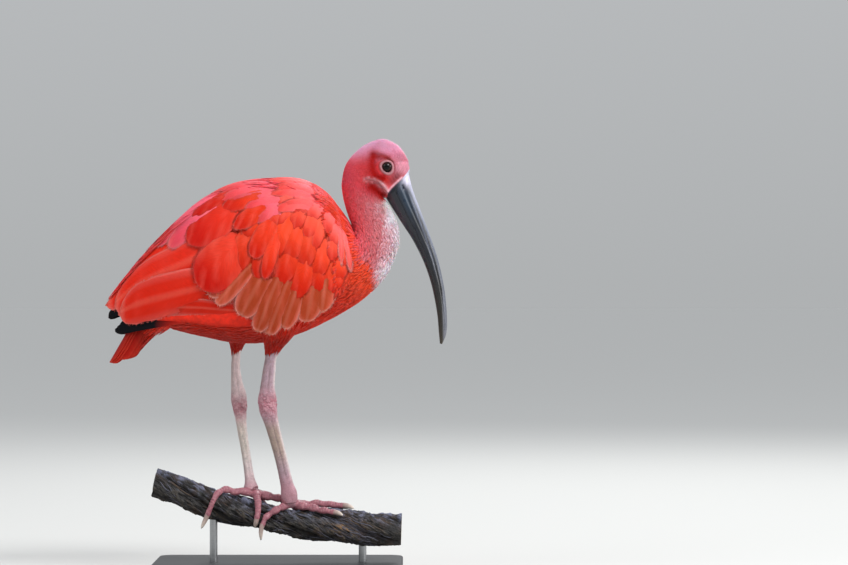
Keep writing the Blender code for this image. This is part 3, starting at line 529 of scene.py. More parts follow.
def start(name, **sockets):
    """A new material and its nodes, with the fixed values of its shader."""
    made = bpy.data.materials.new(name)
    made.use_nodes = True
    for socket, value in sockets.items():
        made.node_tree.nodes["Principled BSDF"].inputs[socket.replace("_", " ")].default_value = value
    return made, made.node_tree


def sizes(*millimetres):
    """Scales for a pattern whose real sizes are given."""
    return tuple(1 / (size * MM) for size in millimetres)


def toned(tree, pattern, dark, pale):
    """The piece's own tint, darkened and lightened by a pattern."""
    light = add(tree, "MapRange", {"Value": pattern, "From Min": 0.3, "From Max": 0.7, "To Min": dark, "To Max": pale})
    tint = add(tree, "Attribute", out="Color", attribute_name="tint")
    return add(tree, "VectorMath", {0: tint, "Scale": light}, operation="SCALE")


def dress(made, colour, rough, *reliefs):
    """Ends a finish: its colour, its roughness over a pattern, and reliefs of (pattern, strength, depth in mm)."""
    tree = made.node_tree
    found = {"Base Color": colour, "Roughness": add(tree, "MapRange", rough)}
    for pattern, strength, depth in reliefs:
        under = {"Normal": found["Normal"]} if "Normal" in found else {}
        bump = {"Strength": strength, "Distance": depth * MM, "Height": pattern}
        found["Normal"] = add(tree, "Bump", bump | under)
    for socket, value in found.items():
        tree.links.new(value, tree.nodes["Principled BSDF"].inputs[socket])
    return made


def feather_finish(name, roughness, barb, depth, sheen):
    """Feather keratin dyed by carotenoids: a soft satin vane, combed into fine barbs that slant off its shaft."""
    made, tree = start(
        name, IOR=1.54, Specular_IOR_Level=0.08, Sheen_Weight=sheen, Sheen_Roughness=0.4, Sheen_Tint=rgba("FFA0B0"),
        Subsurface_Weight=0.3, Subsurface_Radius=(1.0, 0.25, 0.15), Subsurface_Scale=1.2 * MM,
    )
    vane = add(tree, "SeparateXYZ", {0: add(tree, "UVMap", uv_map="vane")}).node.outputs
    across = add(tree, "Math", {0: vane["X"]}, operation="ABSOLUTE")
    slant = add(tree, "Math", {0: vane["Y"], 1: across}, operation="SUBTRACT")
    # One unit of the vane map is 10 mm. Real barbs stand 0.3 mm apart; they are drawn in locks of about 1 mm to show.
    place = add(tree, "CombineXYZ", {0: slant, 1: add(tree, "Math", {0: across, 1: 0.25}, operation="MULTIPLY")})
    locks = add(tree, "TexNoise", {"Vector": place, "Scale": 10 / barb, "Detail": 3.0, "Roughness": 0.6})
    barbs = add(tree, "Math", {0: slant, 1: 2 * math.pi * 10 / (barb * 0.6)}, operation="MULTIPLY")
    comb = add(tree, "Math", {0: barbs}, operation="SINE")
    height = add(tree, "Math", {0: comb, 1: 0.25, 2: locks}, operation="MULTIPLY_ADD")
    rough = {"Value": locks, "To Min": roughness - 0.08, "To Max": roughness + 0.1}
    return dress(made, toned(tree, locks, 0.9, 1.08), rough, (height, 0.5, depth))


def skin_finish():
    """Bare and down-covered skin: moist-looking and creased on the face, dull where the feathers grow from it."""
    made, tree = start(
        "bird_skin", IOR=1.4, Subsurface_Weight=0.12, Subsurface_Radius=(1.0, 0.35, 0.25), Subsurface_Scale=1.5 * MM
    )
    where = add(tree, "TexCoord", out="Object")
    bare = add(tree, "Attribute", out="Fac", attribute_name="bare")
    # Skin grain about 0.5 mm across, and blood showing through in patches of about 4 mm
    grain = add(tree, "TexVoronoi", {"Vector": where, "Scale": 1 / (0.55 * MM)}, feature="DISTANCE_TO_EDGE")
    patches = add(tree, "TexNoise", {"Vector": where, "Scale": 1 / (4 * MM), "Detail": 4.0})
    rough = {"Value": bare, "To Min": 0.8, "To Max": 0.46}
    return dress(made, toned(tree, patches, 0.8, 1.12), rough, (grain, 0.35, 0.12), (patches, 0.3, 0.3))


def horn_finish(name, dark, pale, roughness):
    """Bill horn: layered keratin worn to a satin, with long fine streaks and a thin waxy gloss."""
    made, tree = start(name, IOR=1.55, Specular_IOR_Level=0.4, Coat_Weight=0.1, Coat_Roughness=0.2)
    where = add(tree, "TexCoord", out="Object")
    # Streaks 0.8 mm wide and about 14 mm long down the bill
    long = add(tree, "Mapping", {"Vector": where, "Scale": sizes(0.8, 0.8, 14)})
    streak = add(tree, "TexNoise", {"Vector": long, "Scale": 1.0, "Detail": 5.0, "Roughness": 0.65})
    worn = add(tree, "TexNoise", {"Vector": where, "Scale": 1 / (6 * MM), "Detail": 4.0})
    rough = {"Value": worn, "From Min": 0.3, "From Max": 0.7, "To Min": roughness - 0.08, "To Max": roughness + 0.12}
    return dress(made, toned(tree, streak, dark, pale), rough, (streak, 0.35, 0.15))


def leg_finish():
    """Scaly leg skin: small many-sided scales of thin keratin, pale grey-pink with pinker furrows."""
    made, tree = start(
        "leg_scales", IOR=1.45, Subsurface_Weight=0.1, Subsurface_Radius=(1.0, 0.4, 0.3), Subsurface_Scale=1.0 * MM
    )
    where = add(tree, "TexCoord", out="Object")
    # Scales about 1.3 mm across
    cells = {"Vector": where, "Scale": 1 / (1.3 * MM), "Randomness": 0.75}
    scales = add(tree, "TexVoronoi", cells, feature="DISTANCE_TO_EDGE")
    furrow = add(tree, "MapRange", {"Value": scales, "From Max": 0.14, "To Min": 0.72, "To Max": 1.04})
    patches = add(tree, "TexNoise", {"Vector": where, "Scale": 1 / (5 * MM), "Detail": 3.0})
    colour = add(tree, "VectorMath", {0: toned(tree, patches, 0.86, 1.1), "Scale": furrow}, operation="SCALE")
    return dress(made, colour, {"Value": patches, "To Min": 0.36, "To Max": 0.56}, (furrow, 0.6, 0.22))


def eye_finish():
    """Glass eye as a taxidermist sets it: a dark umber iris round a black pupil, behind one clear domed surface."""
    made, tree = start("glass_eye", IOR=1.5, Roughness=0.05, Specular_IOR_Level=0.2)
    where = add(tree, "TexCoord", out="Object")
    flat = add(tree, "VectorMath", {0: where, 1: (1, 0, 1)}, operation="MULTIPLY")
    off = add(tree, "VectorMath", {0: flat, 1: (EYE[0] * MM, 0, EYE[2] * MM)}, "Value", operation="DISTANCE")
    fibres = add(tree, "TexNoise", {"Vector": where, "Scale": 1 / (0.5 * MM), "Detail": 4.0})
    reach = add(tree, "MapRange", {"Value": off, "From Max": EYE_RADIUS * MM})
    wavy = add(tree, "Math", {0: fibres, 1: 0.05, 2: reach}, operation="MULTIPLY_ADD")
    iris = ((0.42, "030202"), (0.47, "1E0C07"), (0.62, "2A120A"), (0.70, "080404"))
    tree.links.new(add(tree, "ValToRGB", {0: wavy}, stops=iris), tree.nodes["Principled BSDF"].inputs["Base Color"])
    return made


def bark_finish():
    """Liana bark: rough corky fibres that follow the twist, grey and rusty in patches, with painted shade in its
    cracks and a painted bluish highlight on top.
    """
    made, tree = start("vine_bark", IOR=1.5, Specular_IOR_Level=0.25)
    where = add(tree, "TexCoord", out="Object")
    # Fibres about 1.2 mm wide and 10 mm long, along the strands. One unit of the map is 10 mm.
    long = add(tree, "Mapping", {"Vector": add(tree, "UVMap", uv_map="vane"), "Scale": (1.0, 0.12, 1.0)})
    fibres = add(tree, "TexNoise", {"Vector": long, "Scale": 8.0, "Detail": 6.0, "Roughness": 0.7, "Distortion": 0.6})
    cork = add(tree, "TexNoise", {"Vector": where, "Scale": 1 / (2.2 * MM), "Detail": 5.0, "Roughness": 0.65})
    mottle = add(tree, "TexNoise", {"Vector": where, "Scale": 1 / (11 * MM), "Detail": 3.0})
    rust = add(tree, "MapRange", {"Value": mottle, "From Min": 0.52, "From Max": 0.68, "To Max": 0.13})
    layers = {"Factor": rust, "A": toned(tree, fibres, 0.66, 1.26), "B": rgba("6E4A34")}
    colour = add(tree, "Mix", layers, "Result", data_type="RGBA")
    return dress(made, colour, {"Value": cork, "To Min": 0.78, "To Max": 0.96}, (fibres, 0.8, 1.0), (cork, 0.6, 0.6))


def cut_wood_finish():
    """Sawn end of the liana: pale damp wood with open vessels between dark rays."""
    made, tree = start("sawn_vine_wood", IOR=1.5)
    where = add(tree, "TexCoord", out="Object")
    # Vessels about 0.9 mm apart, stains about 4 mm across
    vessels = add(tree, "TexVoronoi", {"Vector": where, "Scale": 1 / (0.9 * MM)})
    stain = add(tree, "TexNoise", {"Vector": where, "Scale": 1 / (4 * MM), "Detail": 4.0})
    wood = add(tree, "ValToRGB", {0: vessels}, stops=((0.12, "3A2A20"), (0.34, "A08464")))
    colour = add(tree, "Mix", {"Factor": stain, "A": wood, "B": rgba("7C6048")}, "Result", data_type="RGBA")
    return dress(made, colour, {"Value": stain, "To Min": 0.7, "To Max": 0.9}, (vessels, 0.5, 0.4))


def lacquer_finish():
    """Ash wood under charcoal lacquer: open pores show as fine dark dashes under a satin film."""
    made, tree = start(
        "charcoal_lacquered_ash", IOR=1.5, Specular_IOR_Level=0.25, Coat_Weight=0.05, Coat_Roughness=0.3
    )
    where = add(tree, "TexCoord", out="Object")
    # Pores 0.5 mm wide and 9 mm long along the board, growth bands about 9 mm apart
    long = add(tree, "Mapping", {"Vector": where, "Scale": sizes(9, 0.5, 0.5)})
    pores = add(tree, "TexNoise", {"Vector": long, "Scale": 1.0, "Detail": 3.0, "Roughness": 0.6})
    wide = add(tree, "Mapping", {"Vector": where, "Scale": sizes(70, 9, 9)})
    bands = add(tree, "TexNoise", {"Vector": wide, "Scale": 1.0, "Detail": 4.0, "Distortion": 0.4})
    depth = add(tree, "Math", {0: bands, 1: 0.6, 2: pores}, operation="MULTIPLY_ADD")
    colour = add(tree, "ValToRGB", {0: depth}, stops=((0.55, "141517"), (1.0, "2C2D30")))
    return dress(made, colour, {"Value": pores, "To Min": 0.34, "To Max": 0.52}, (pores, 0.25, 0.12))


def steel_finish():
    """Stainless steel rod, brushed round its length, so its highlight breaks into fine rings."""
    made, tree = start("brushed_stainless_steel", Metallic=1.0)
    # Brush marks 0.2 mm apart along the rod
    rings = add(tree, "Mapping", {"Vector": add(tree, "TexCoord", out="Object"), "Scale": sizes(6, 6, 0.2)})
    marks = add(tree, "TexNoise", {"Vector": rings, "Scale": 1.0, "Detail": 2.0})
    greys = {"Factor": marks, "A": rgba("8C8E90"), "B": rgba("B4B5B6")}
    colour = add(tree, "Mix", greys, "Result", data_type="RGBA")
    return dress(made, colour, {"Value": marks, "To Min": 0.24, "To Max": 0.42}, (marks, 0.2, 0.03))


# Feathers


def tufts(roots, normals, ends, end_normals, width, lift, rings=3, curl=0.0, wave=0.0, thick=0.3):
    """Thin closed tufts in one mesh, each from its root to its end along the skin, lifted off it from low to high."""
    count = len(roots)
    reach = np.linalg.norm(ends - roots, axis=1)
    ahead = unit(ends - roots)
    bulge = reach * np.sum((end_normals - normals) * ahead, 1) / 8
    swing = draw.uniform(0, 2 * math.pi, count)
    steps = np.linspace(0, 1, rings + 1)
    shape = np.interp(steps, [0, 0.4, 0.75, 1.0], [0.62, 1.0, 0.8, 0.3])
    low, high = lift
    parts, places = [], []
    for k, s in enumerate(steps):
        normal = unit(normals * (1 - s) + end_normals * s)
        side = unit(np.cross(normal, ahead))
        rise = low + (high - low) * (1 - (1 - s) ** 3) + 4 * s * (1 - s) * bulge + curl * s**3
        sway = wave * (np.sin(swing + s * 5.0) - np.sin(swing))
        centre = roots + (ends - roots) * s + normal * rise[:, None] + side * sway[:, None]
        if k == rings:
            parts.append(centre[:, None, :])
            places.append(np.tile([0.0, 1.0], (count, 1, 1)))
            break
        half = (width * shape[k] / 2)[:, None]
        corners = (centre - side * half, centre + normal * thick, centre + side * half, centre - normal * thick * 0.4)
        parts.append(np.stack(corners, 1))
        places.append(np.tile([[-shape[k], s], [0.0, s], [shape[k], s], [0.0, s]], (count, 1, 1)))
    faces = [[0, 2, 1], [0, 3, 2]]
    for k in range(rings - 1):
        for j in range(4):
            a, b = 4 * k + j, 4 * k + (j + 1) % 4
            faces += [[a, b, b + 4], [a, b + 4, a + 4]]
    base = 4 * (rings - 1)
    faces += [[base + j, base + (j + 1) % 4, 4 * rings] for j in range(4)]
    return np.concatenate(parts, 1), repeated(faces, count, 4 * rings + 1), np.concatenate(places, 1), reach


def repeated(faces, count, corners):
    """The faces of count like pieces that have so many corners each."""
    return (np.array(faces)[None] + (np.arange(count) * corners)[:, None, None]).reshape(-1, 3)


def coat(name, found, tints, width, home, finish, tip=0.15, vary=0.1, shadow=0.12):
    """One coat piece from tufts: tints at the roots, and each tuft's home on the skin's unwrap."""
    points, faces, places, reach = found
    count, size, _ = points.shape
    tone = draw.uniform(1 - vary, 1 + vary, (count, 1, 1))
    along = places[:, :, 1:2]
    colour = tints[:, None, :] * tone * (1 - shadow * (1 - along)) * np.ones((count, size, 1))
    colour = mix(colour, ("F6B4AE", tip * along[..., 0] ** 3 * draw.random((count, 1))))
    vane = places * np.stack([width / 20, reach / 10], -1)[:, None, :]
    vane = vane + np.stack([np.zeros(count), draw.uniform(0, 40, count)], -1)[:, None, :]
    bake = patch(np.stack(home, -1), places * [0.5, 1.0] - [0.0, 0.5])
    made = mesh_object(
        name, points.reshape(-1, 3), faces, finish, tint=np.clip(colour, 0, 1).reshape(-1, 3),
        vane=vane.reshape(-1, 2), bake=bake.reshape(-1, 2),
    )
    return ride(made, ())


def patch(home, place):
    """Places on the bake map: a small patch for each feather at its root's home on the skin's unwrap."""
    return home[:, None, :] * 0.99 + 0.005 + BAKE_PATCH * place


def spaced(points, gaps):
    """The places kept when points nearer to each other than their gap are dropped."""
    size = float(gaps.max())
    around = [(a, b, c) for a in (-1, 0, 1) for b in (-1, 0, 1) for c in (-1, 0, 1)]
    cells, kept = {}, []
    for i, (place, gap) in enumerate(zip(points.tolist(), gaps.tolist())):
        x, y, z = (int(v // size) for v in place)
        if all(math.dist(p, place) >= gap for a, b, c in around for p in cells.get((x + a, y + b, z + c), ())):
            cells.setdefault((x, y, z), []).append(place)
            kept.append(i)
    return kept


def sown(surface, low, high, gap_at, keep, crowd):
    """Evenly scattered places on a surface of two numbers, denser where gap_at asks for smaller gaps."""
    s, r = crossed(np.linspace(low[0], high[0], SOWING), np.linspace(low[1], high[1], SOWING))
    grid = surface(s, r)
    area = np.linalg.norm(np.cross(grid[1:, :-1] - grid[:-1, :-1], grid[:-1, 1:] - grid[:-1, :-1]), axis=-1)
    share = (area / gap_at(s[:-1, :-1], r[:-1, :-1]) ** 2).ravel()
    count = int(share.sum() * crowd)
    i, j = np.divmod(draw.choice(len(share), count, p=share / share.sum()), SOWING - 1)
    s = low[0] + (i + draw.random(count)) / (SOWING - 1) * (high[0] - low[0])
    r = low[1] + (j + draw.random(count)) / (SOWING - 1) * (high[1] - low[1])
    wanted = keep(s, r, surface(s, r))
    s, r = s[wanted], r[wanted]
    chosen = spaced(surface(s, r), np.broadcast_to(gap_at(s, r), s.shape))
    return s[chosen], r[chosen], *surface_frame(surface, s[chosen], r[chosen])


def surface_frame(surface, s, r):
    """Points on a surface of two numbers, normals, and the way in which the first number grows."""
    along = surface(s + 0.01, r) - surface(s - 0.01, r)
    around = surface(s, r + 0.01) - surface(s, r - 0.01)
    return surface(s, r), unit(np.cross(along, around)), unit(along)


def turned(lies, normals, spread):
    """Lie directions swung about the skin's normal by a small random angle."""
    angle = draw.normal(0, spread, len(lies))[:, None]
    return unit(lies * np.cos(angle) + np.cross(normals, lies) * np.sin(angle))


def about(rows, values, at, low, high):
    """Sizes read off a row of values, each with its own random share from low to high."""
    return np.interp(at, rows, values) * draw.uniform(low, high, len(at))


# Skin


def skin_grid():
    """Rings of the whole body from rump to bill, finer towards the face, with the relief of the face."""
    finer = (np.linspace(0.05, 9.5, 120, endpoint=False), np.linspace(9.5, 14, 70, endpoint=False))
    t = np.concatenate([*finer, np.linspace(14, 21, 170)])
    grid = body_point(*crossed(t, ring_of(150)))
    normal = unit(np.cross(np.gradient(grid, axis=0), np.gradient(grid, axis=1)))
    outward = np.sign(np.sum(normal * (grid - grid.mean(1, keepdims=True))))
    relief = face_relief(grid) * (t > 14)[:, None]
    return grid + outward * normal * relief[..., None]


def build_skin(finish):
    """Body, flesh of the wings, thighs and tail as one skin; gives a tree for finding its nearest places."""
    points, faces = loft_arrays(skin_grid())
    tree = BVHTree.FromPolygons(points.tolist(), faces.tolist())
    made = mesh_object("bird_skin", points, faces, finish)
    grids = []
    for side in (1, -1):
        x = np.linspace(WING_FLESH[0][0], WING_FLESH[-1][0], 70)
        upper, lower, depth = rows_at(WING_FLESH, x)
        angle = np.radians(upper[:, None] + (lower - upper)[:, None] * np.linspace(0, 1, 40))
        xx = np.broadcast_to(x[:, None], angle.shape)
        outer = wing_point(xx, angle, np.full(angle.shape, -1.4), side)
        inner = wing_point(xx, angle[:, ::-1], -np.broadcast_to(depth[:, None], angle.shape), side)
        grids.append(np.concatenate([outer, inner], 1))
    for side_name in LEGS:
        tt, rr = crossed(np.linspace(0, 2.95, 60), ring_of(40))
        grids.append(leg_point(side_name, tt, rr, np.interp(tt, *THIGH_DEPTH)))
    grids.append(section_point(TAIL_STUMP, *crossed(np.linspace(0, len(TAIL_STUMP) - 1, 20), ring_of(40)), 1.0))
    fuse(made, [mesh_object("flesh", *loft_arrays(grid), finish) for grid in grids])
    mesh = made.data
    mesh.shade_smooth()
    where = mesh_points(mesh)
    set_tint(mesh, marking(where))
    mesh.attributes.new("bare", "FLOAT", "POINT").data.foreach_set("value", bareness(where).astype(np.float32))
    ride(made, ("torso", "neck", "head", "thigh_right", "thigh_left"))
    return tree


def under_wing(p):
    """Places that a folded wing hides."""
    x = p[..., 0]
    top, foot, half = rows_at(WING, np.clip(x, WING[0][0], WING[-1][0]))
    angle = np.degrees(np.arcsin(np.clip(2 * (p[..., 2] - foot) / (top - foot) - 1, -1, 1)))
    low = np.interp(x, [-110, -50, 0, 25, 45, 56], [-20, -30, -26, -18, -6, 14])
    inside = np.abs(p[..., 1]) < half * np.cos(np.radians(angle)) ** 0.86 - 1.0
    return inside & (angle > low) & (x < 56) & (x > -120)


# Small body feathers by body row: gap, length and width
COVER = np.array((
    (0, 1.5, 20, 2.2), (2, 1.34, 21, 2.1), (7, 1.18, 18, 1.9), (9, 0.96, 14, 1.5), (10.5, 0.78, 10, 1.15),
    (12, 0.7, 8, 1.0), (13.2, 0.64, 6.2, 0.82), (14.2, 0.56, 4.6, 0.7), (15.5, 0.5, 3.6, 0.6), (18, 0.46, 3.0, 0.56),
    (21, 0.45, 2.4, 0.5),
)).T


def body_coats(tree, finishes):
    """The small feathers of head, neck, breast, belly and back, rooted on the skin."""
    rows, gaps, lengths, widths = COVER
    for name, first, last, finish, slot in (
        ("coat_head", HEAD_START, 20.95, "down", "rose_feather"),
        ("coat_neck", NECK_START, HEAD_START, "neck", "pale_neck_feather"),
        ("coat_body", 0.0, NECK_START, "body", "scarlet_feather"),
    ):
        on_head, on_body = first == HEAD_START, first == 0.0

        def keep(s, r, p):
            grown = draw.random(len(p)) > bareness(p) * 1.2
            return ~under_wing(p) & grown & ((p[:, 0] < 116.5) | (p[:, 2] > 367))

        low, high = (first, 0.0), (last, 2 * math.pi)
        s, r, p, normal, lie = sown(body_point, low, high, lambda s, r: np.interp(s, rows, gaps), keep, 3.0)
        normal = facing(normal, p - section_point(BODY, s, r, 200.0))
        shifted = p + normal * (face_relief(p) * (s > 14))[:, None]
        lie = turned(-lie, normal, np.interp(s, [0, 9, 10, 12, 13, 15], [0.09, 0.1, 0.22, 0.24, 0.16, 0.12]))
        length = about(rows, lengths, s, 0.75, 1.2)
        width = about(rows, widths, s, 0.8, 1.25)
        found = [tree.find_nearest(place)[:2] for place in shifted + lie * length[:, None]]
        ends, end_normals = (np.array(values) for values in zip(*found))
        depth = np.maximum(coat_depth(s, r), 0.45) * (1 - 0.95 * ramp(bareness(p), 0, 0.6) * on_head)
        lift = (-0.3, depth * draw.uniform(0.84, 1.0, len(s)))
        ruffle = np.interp(s, [9.0, 10, 12.6, 13.6], [0.0, 1.0, 1.0, 0.0])
        front = ramp(p[:, 0] - np.interp(p[:, 2], [262, 285, 314, 338], [84, 95, 99, 90]), 0, 6)
        curl = ruffle * draw.uniform(-0.12, 0.2, len(s)) + ramp(s, 8.4, 9.6) * front * draw.uniform(0.2, 2.0, len(s))
        found = tufts(
            shifted, normal, ends, facing(end_normals, normal), width, lift, 2 if on_head else 4, curl,
            ruffle * 0.3 + 0.1, 0.22 if on_body else 0.16,
        )
        tints = mix(marking(p), ("E8402A", on_body * 0.2 * draw.random(len(s)))) * (1.12 if on_head else 1.0)
        home = (r / (2 * math.pi), s / 21)
        coat(name, found, tints, width, home, finishes[finish], 0.0 if on_head else 0.15, vary=0.07, shadow=0.05)


def thigh_coat(finish):
    """Feathers of the thighs, which end in a ragged line over the bare leg."""
    for side_name in LEGS:

        def surface(s, r):
            return leg_point(side_name, s, r, np.interp(s, [0, 1, 2.4, 3.0], [2.4, 2.2, 1.4, 0.4]))

        def keep(s, r, p):
            return (p[:, 2] < 236) & (s < 2.5 + 0.26 * np.cos(r) + draw.normal(0, 0.05, len(s)))

        def gap_at(s, r):
            return np.interp(s, [0, 2, 3.1], [1.5, 1.2, 0.8])

        s, r, p, normal, lie = sown(surface, (0.55, 0.0), (3.0, 2 * math.pi), gap_at, keep, 3.5)
        normal = facing(normal, p - smooth_rows(LEGS[side_name], s)[:, :3])
        lie = turned(lie, normal, 0.14)
        length = about([0, 2, 3], [15, 10, 5.5], s, 0.7, 1.3)
        width = about([0, 2, 3], [2.0, 1.6, 1.1], s, 0.8, 1.2)
        ends = surface(np.minimum(s + length / 15.0, 3.2), r)
        ends = p + unit(ends - p + lie * 2) * length[:, None]
        lift = (-0.3, np.interp(s, [0, 2, 3], [1.8, 0.9, 0.7]))
        found = tufts(p, normal, ends, normal, width, lift, 3, 0.0, 0.15, 0.2)
        home = (r / (2 * math.pi), s / 14)
        coat(f"coat_thigh_{side_name}", found, marking(p), width, home, finish)


# Wing and tail feathers. A tier: how many, line of the roots, line of the tips (x and angle), widths from first to
# last, lift at root and tip, roll (which edge tucks under), bend, colour, paleness of its edges, and its outline.
TIERS = {
    "primaries": (
        5, ((-46, 0), (-48, -14), (-50, -20), (-50, -25), (-50, -28)),
        ((-156.5, 18), (-143, -12), (-145, -20), (-147, -28), (-148.5, -33)),
        (11, 8), (-4.2, -3.0), -1, (0,), "C01C0C", 0.0, "primary",
    ),
    "secondaries": (
        6, ((-14, 4), (-8, -8), (0, -24)), ((-145, 7), (-141, 0), (-134, -5)),
        (20, 18), (-3.4, -0.4), -1, (-0.05, -0.07, -0.1), "C81C06", 0.5, "flight",
    ),
    "tertials": (
        5, ((-24, 82), (-24, 66), (-24, 50), (-26, 24), (-24, -2)),
        ((-157, 86), (-157, 80), (-155, 66), (-146, 35), (-142, 5)),
        (36, 36), (-2.6, 1.0), -1, (0, -0.12, -0.3, -0.2, -0.12), "D82008", 0.4, "flight",
    ),
    "greater_coverts": (
        8, ((-22, 12), (18, 12), (46, 4)), ((-60, -9), (-14, -37), (38, -32)),
        (19, 27), (-2.6, 2.0), 1, (0.05,), "C25038", 0.5, "covert",
    ),
    "median_coverts": (
        7, ((-12, 34), (24, 32), (56, 14)), ((-34, 3), (8, -9), (49, -18)),
        (21, 18), (-2.6, 2.2), 1, (0.03,), "E0340E", 0.0, "covert",
    ),
    "lesser_coverts_1": (
        7, ((-2, 46), (28, 42), (58, 24)), ((-24, 17), (12, 7), (54, -6)),
        (20, 16), (-2.6, 2.3), 1, (0.02,), "E8401C", 0.0, "covert",
    ),
    "lesser_coverts_2": (
        7, ((8, 58), (36, 52), (60, 34)), ((-4, 30), (24, 21), (57, 5)),
        (18, 13), (-2.6, 2.5), 1, (0.02,), "F2523A", 0.0, "covert",
    ),
    "lesser_coverts_3": (
        7, ((16, 68), (42, 60), (62, 44)), ((6, 43), (32, 34), (60, 17)),
        (15, 11), (-2.6, 2.7), 1, (0.02,), "F85C4C", 0.0, "covert",
    ),
    "wing_bend": (
        2, ((57, 50), (60, 53)), ((63, 4), (66, -3)),
        (6, 5), (-2.6, 2.9), -1, (0.1,), "F05C58", 0.45, "covert",
    ),
    # The pinker colours of scapulars_far, upper_scapulars and mantle are partly painted sheen from above
    "scapulars_far": (
        6, ((-36, 84), (-30, 66), (-26, 48)), ((-112, 84), (-106, 62), (-94, 44)),
        (22, 25), (-2.6, 2.6), -1, (0.02,), "F8586E", 0.3, "flight",
    ),
    "scapulars": (
        3, ((-20, 66), (-24, 50), (-27, 25)), ((-74, 54), (-80, 31), (-71, -4)),
        (30, 42), (-2.6, 3.0), -1, (0,), "C81402", 0.1, "scapular",
    ),
    "scapular_tips": (
        4, ((8, 62), (4, 44), (4, 34)), ((-44, 46), (-32, 20), (-7, 0)),
        (24, 16), (-2.6, 3.1), -1, (0,), "E2300E", 0.1, "scapular",
    ),
    "upper_scapulars": (
        7, ((12, 84), (16, 66), (14, 44)), ((-56, 82), (-48, 60), (-22, 32)),
        (20, 18), (-2.6, 3.0), -1, (0.02,), "F4545C", 0.14, "scapular",
    ),
    "mantle": (
        8, ((42, 84), (44, 66), (40, 46)), ((-10, 84), (-4, 62), (4, 40)),
        (16, 14), (-2.6, 3.1), -1, (0.02,), "F45450", 0.14, "scapular",
    ),
}
# Tiers whose painted sheen is a rosier pink
ROSY_TIERS = ("scapulars_far", "upper_scapulars", "mantle", "lesser_coverts_3", "wing_bend")
# Half widths along a vane, as (place, share)
OUTLINES = {
    "primary": ((0, 0.5), (0.2, 0.8), (0.5, 0.98), (0.86, 1.0), (0.93, 0.95), (0.97, 0.84), (0.99, 0.66), (1, 0.4)),
    "flight": ((0, 0.5), (0.2, 0.8), (0.5, 0.98), (0.75, 1.0), (0.86, 0.92), (0.93, 0.74), (0.97, 0.52), (1, 0.14)),
    "covert": ((0, 0.5), (0.3, 0.85), (0.6, 1.0), (0.78, 0.97), (0.88, 0.84), (0.95, 0.6), (0.98, 0.42), (1, 0.12)),
    "scapular": ((0, 0.5), (0.3, 0.85), (0.55, 1.0), (0.72, 0.97), (0.84, 0.84), (0.93, 0.6), (0.97, 0.42), (1, 0.14)),
    "tail": ((0, 0.5), (0.3, 0.85), (0.7, 1.0), (0.86, 0.92), (0.94, 0.74), (0.98, 0.5), (1, 0.16)),
}
LENGTHWISE = np.array([0, 0.12, 0.25, 0.38, 0.5, 0.62, 0.72, 0.8, 0.86, 0.91, 0.95, 0.98, 1.0])
CROSSWISE = np.array([-1, -0.86, -0.55, -0.22, -0.05, 0.05, 0.22, 0.55, 0.86, 1.0])
ROWS, COLUMNS = len(LENGTHWISE), len(CROSSWISE)
# The nearest that a vane's tip comes to the end of the box, as x
WING_END = -156.5


def vane_faces(count):
    """Triangles of closed thin vanes, each an upper and a lower sheet joined round its edge."""
    at = np.arange(2 * ROWS * COLUMNS).reshape(2, ROWS, COLUMNS)
    sheets = (at[0], at[1].T, at[:, :, 0], at[:, :, -1].T, at[:, 0].T, at[:, -1])
    quads = [np.stack([g[:-1, :-1], g[1:, :-1], g[1:, 1:], g[:-1, 1:]], -1).reshape(-1, 4) for g in sheets]
    quads = np.vstack(quads)
    return repeated(np.vstack([quads[:, [0, 1, 2]], quads[:, [0, 2, 3]]]), count, at.size)


def edge_wear(count):
    """Small splits and frays along the edges of each vane, as shares of its width."""
    worn = np.ones((count, ROWS, COLUMNS))
    for side in (0, -1):
        fray = draw.uniform(0.955, 1.0, (count, ROWS))
        split = draw.random((count, ROWS)) < 0.06
        worn[:, :, side] = np.where(split, fray - 0.07, fray)
    return worn


def girth_at(x):
    """Millimetres round the folded wing for each radian of its angle."""
    top, foot, half = rows_at(WING, x)
    return np.maximum(0.7 * (top - foot) / 2 + 0.3 * half, 12)


def wing_home(x, angle):
    """Where places of the wing lie on its unwrap."""
    return (x + 165) / 240, (angle + 45) / 140


def flat(points, faces, tint, vane, bake):
    """The same arrays as plain rows, one for each corner."""
    return points.reshape(-1, 3), faces, tint.reshape(-1, 3), vane.reshape(-1, 2), bake.reshape(-1, 2)


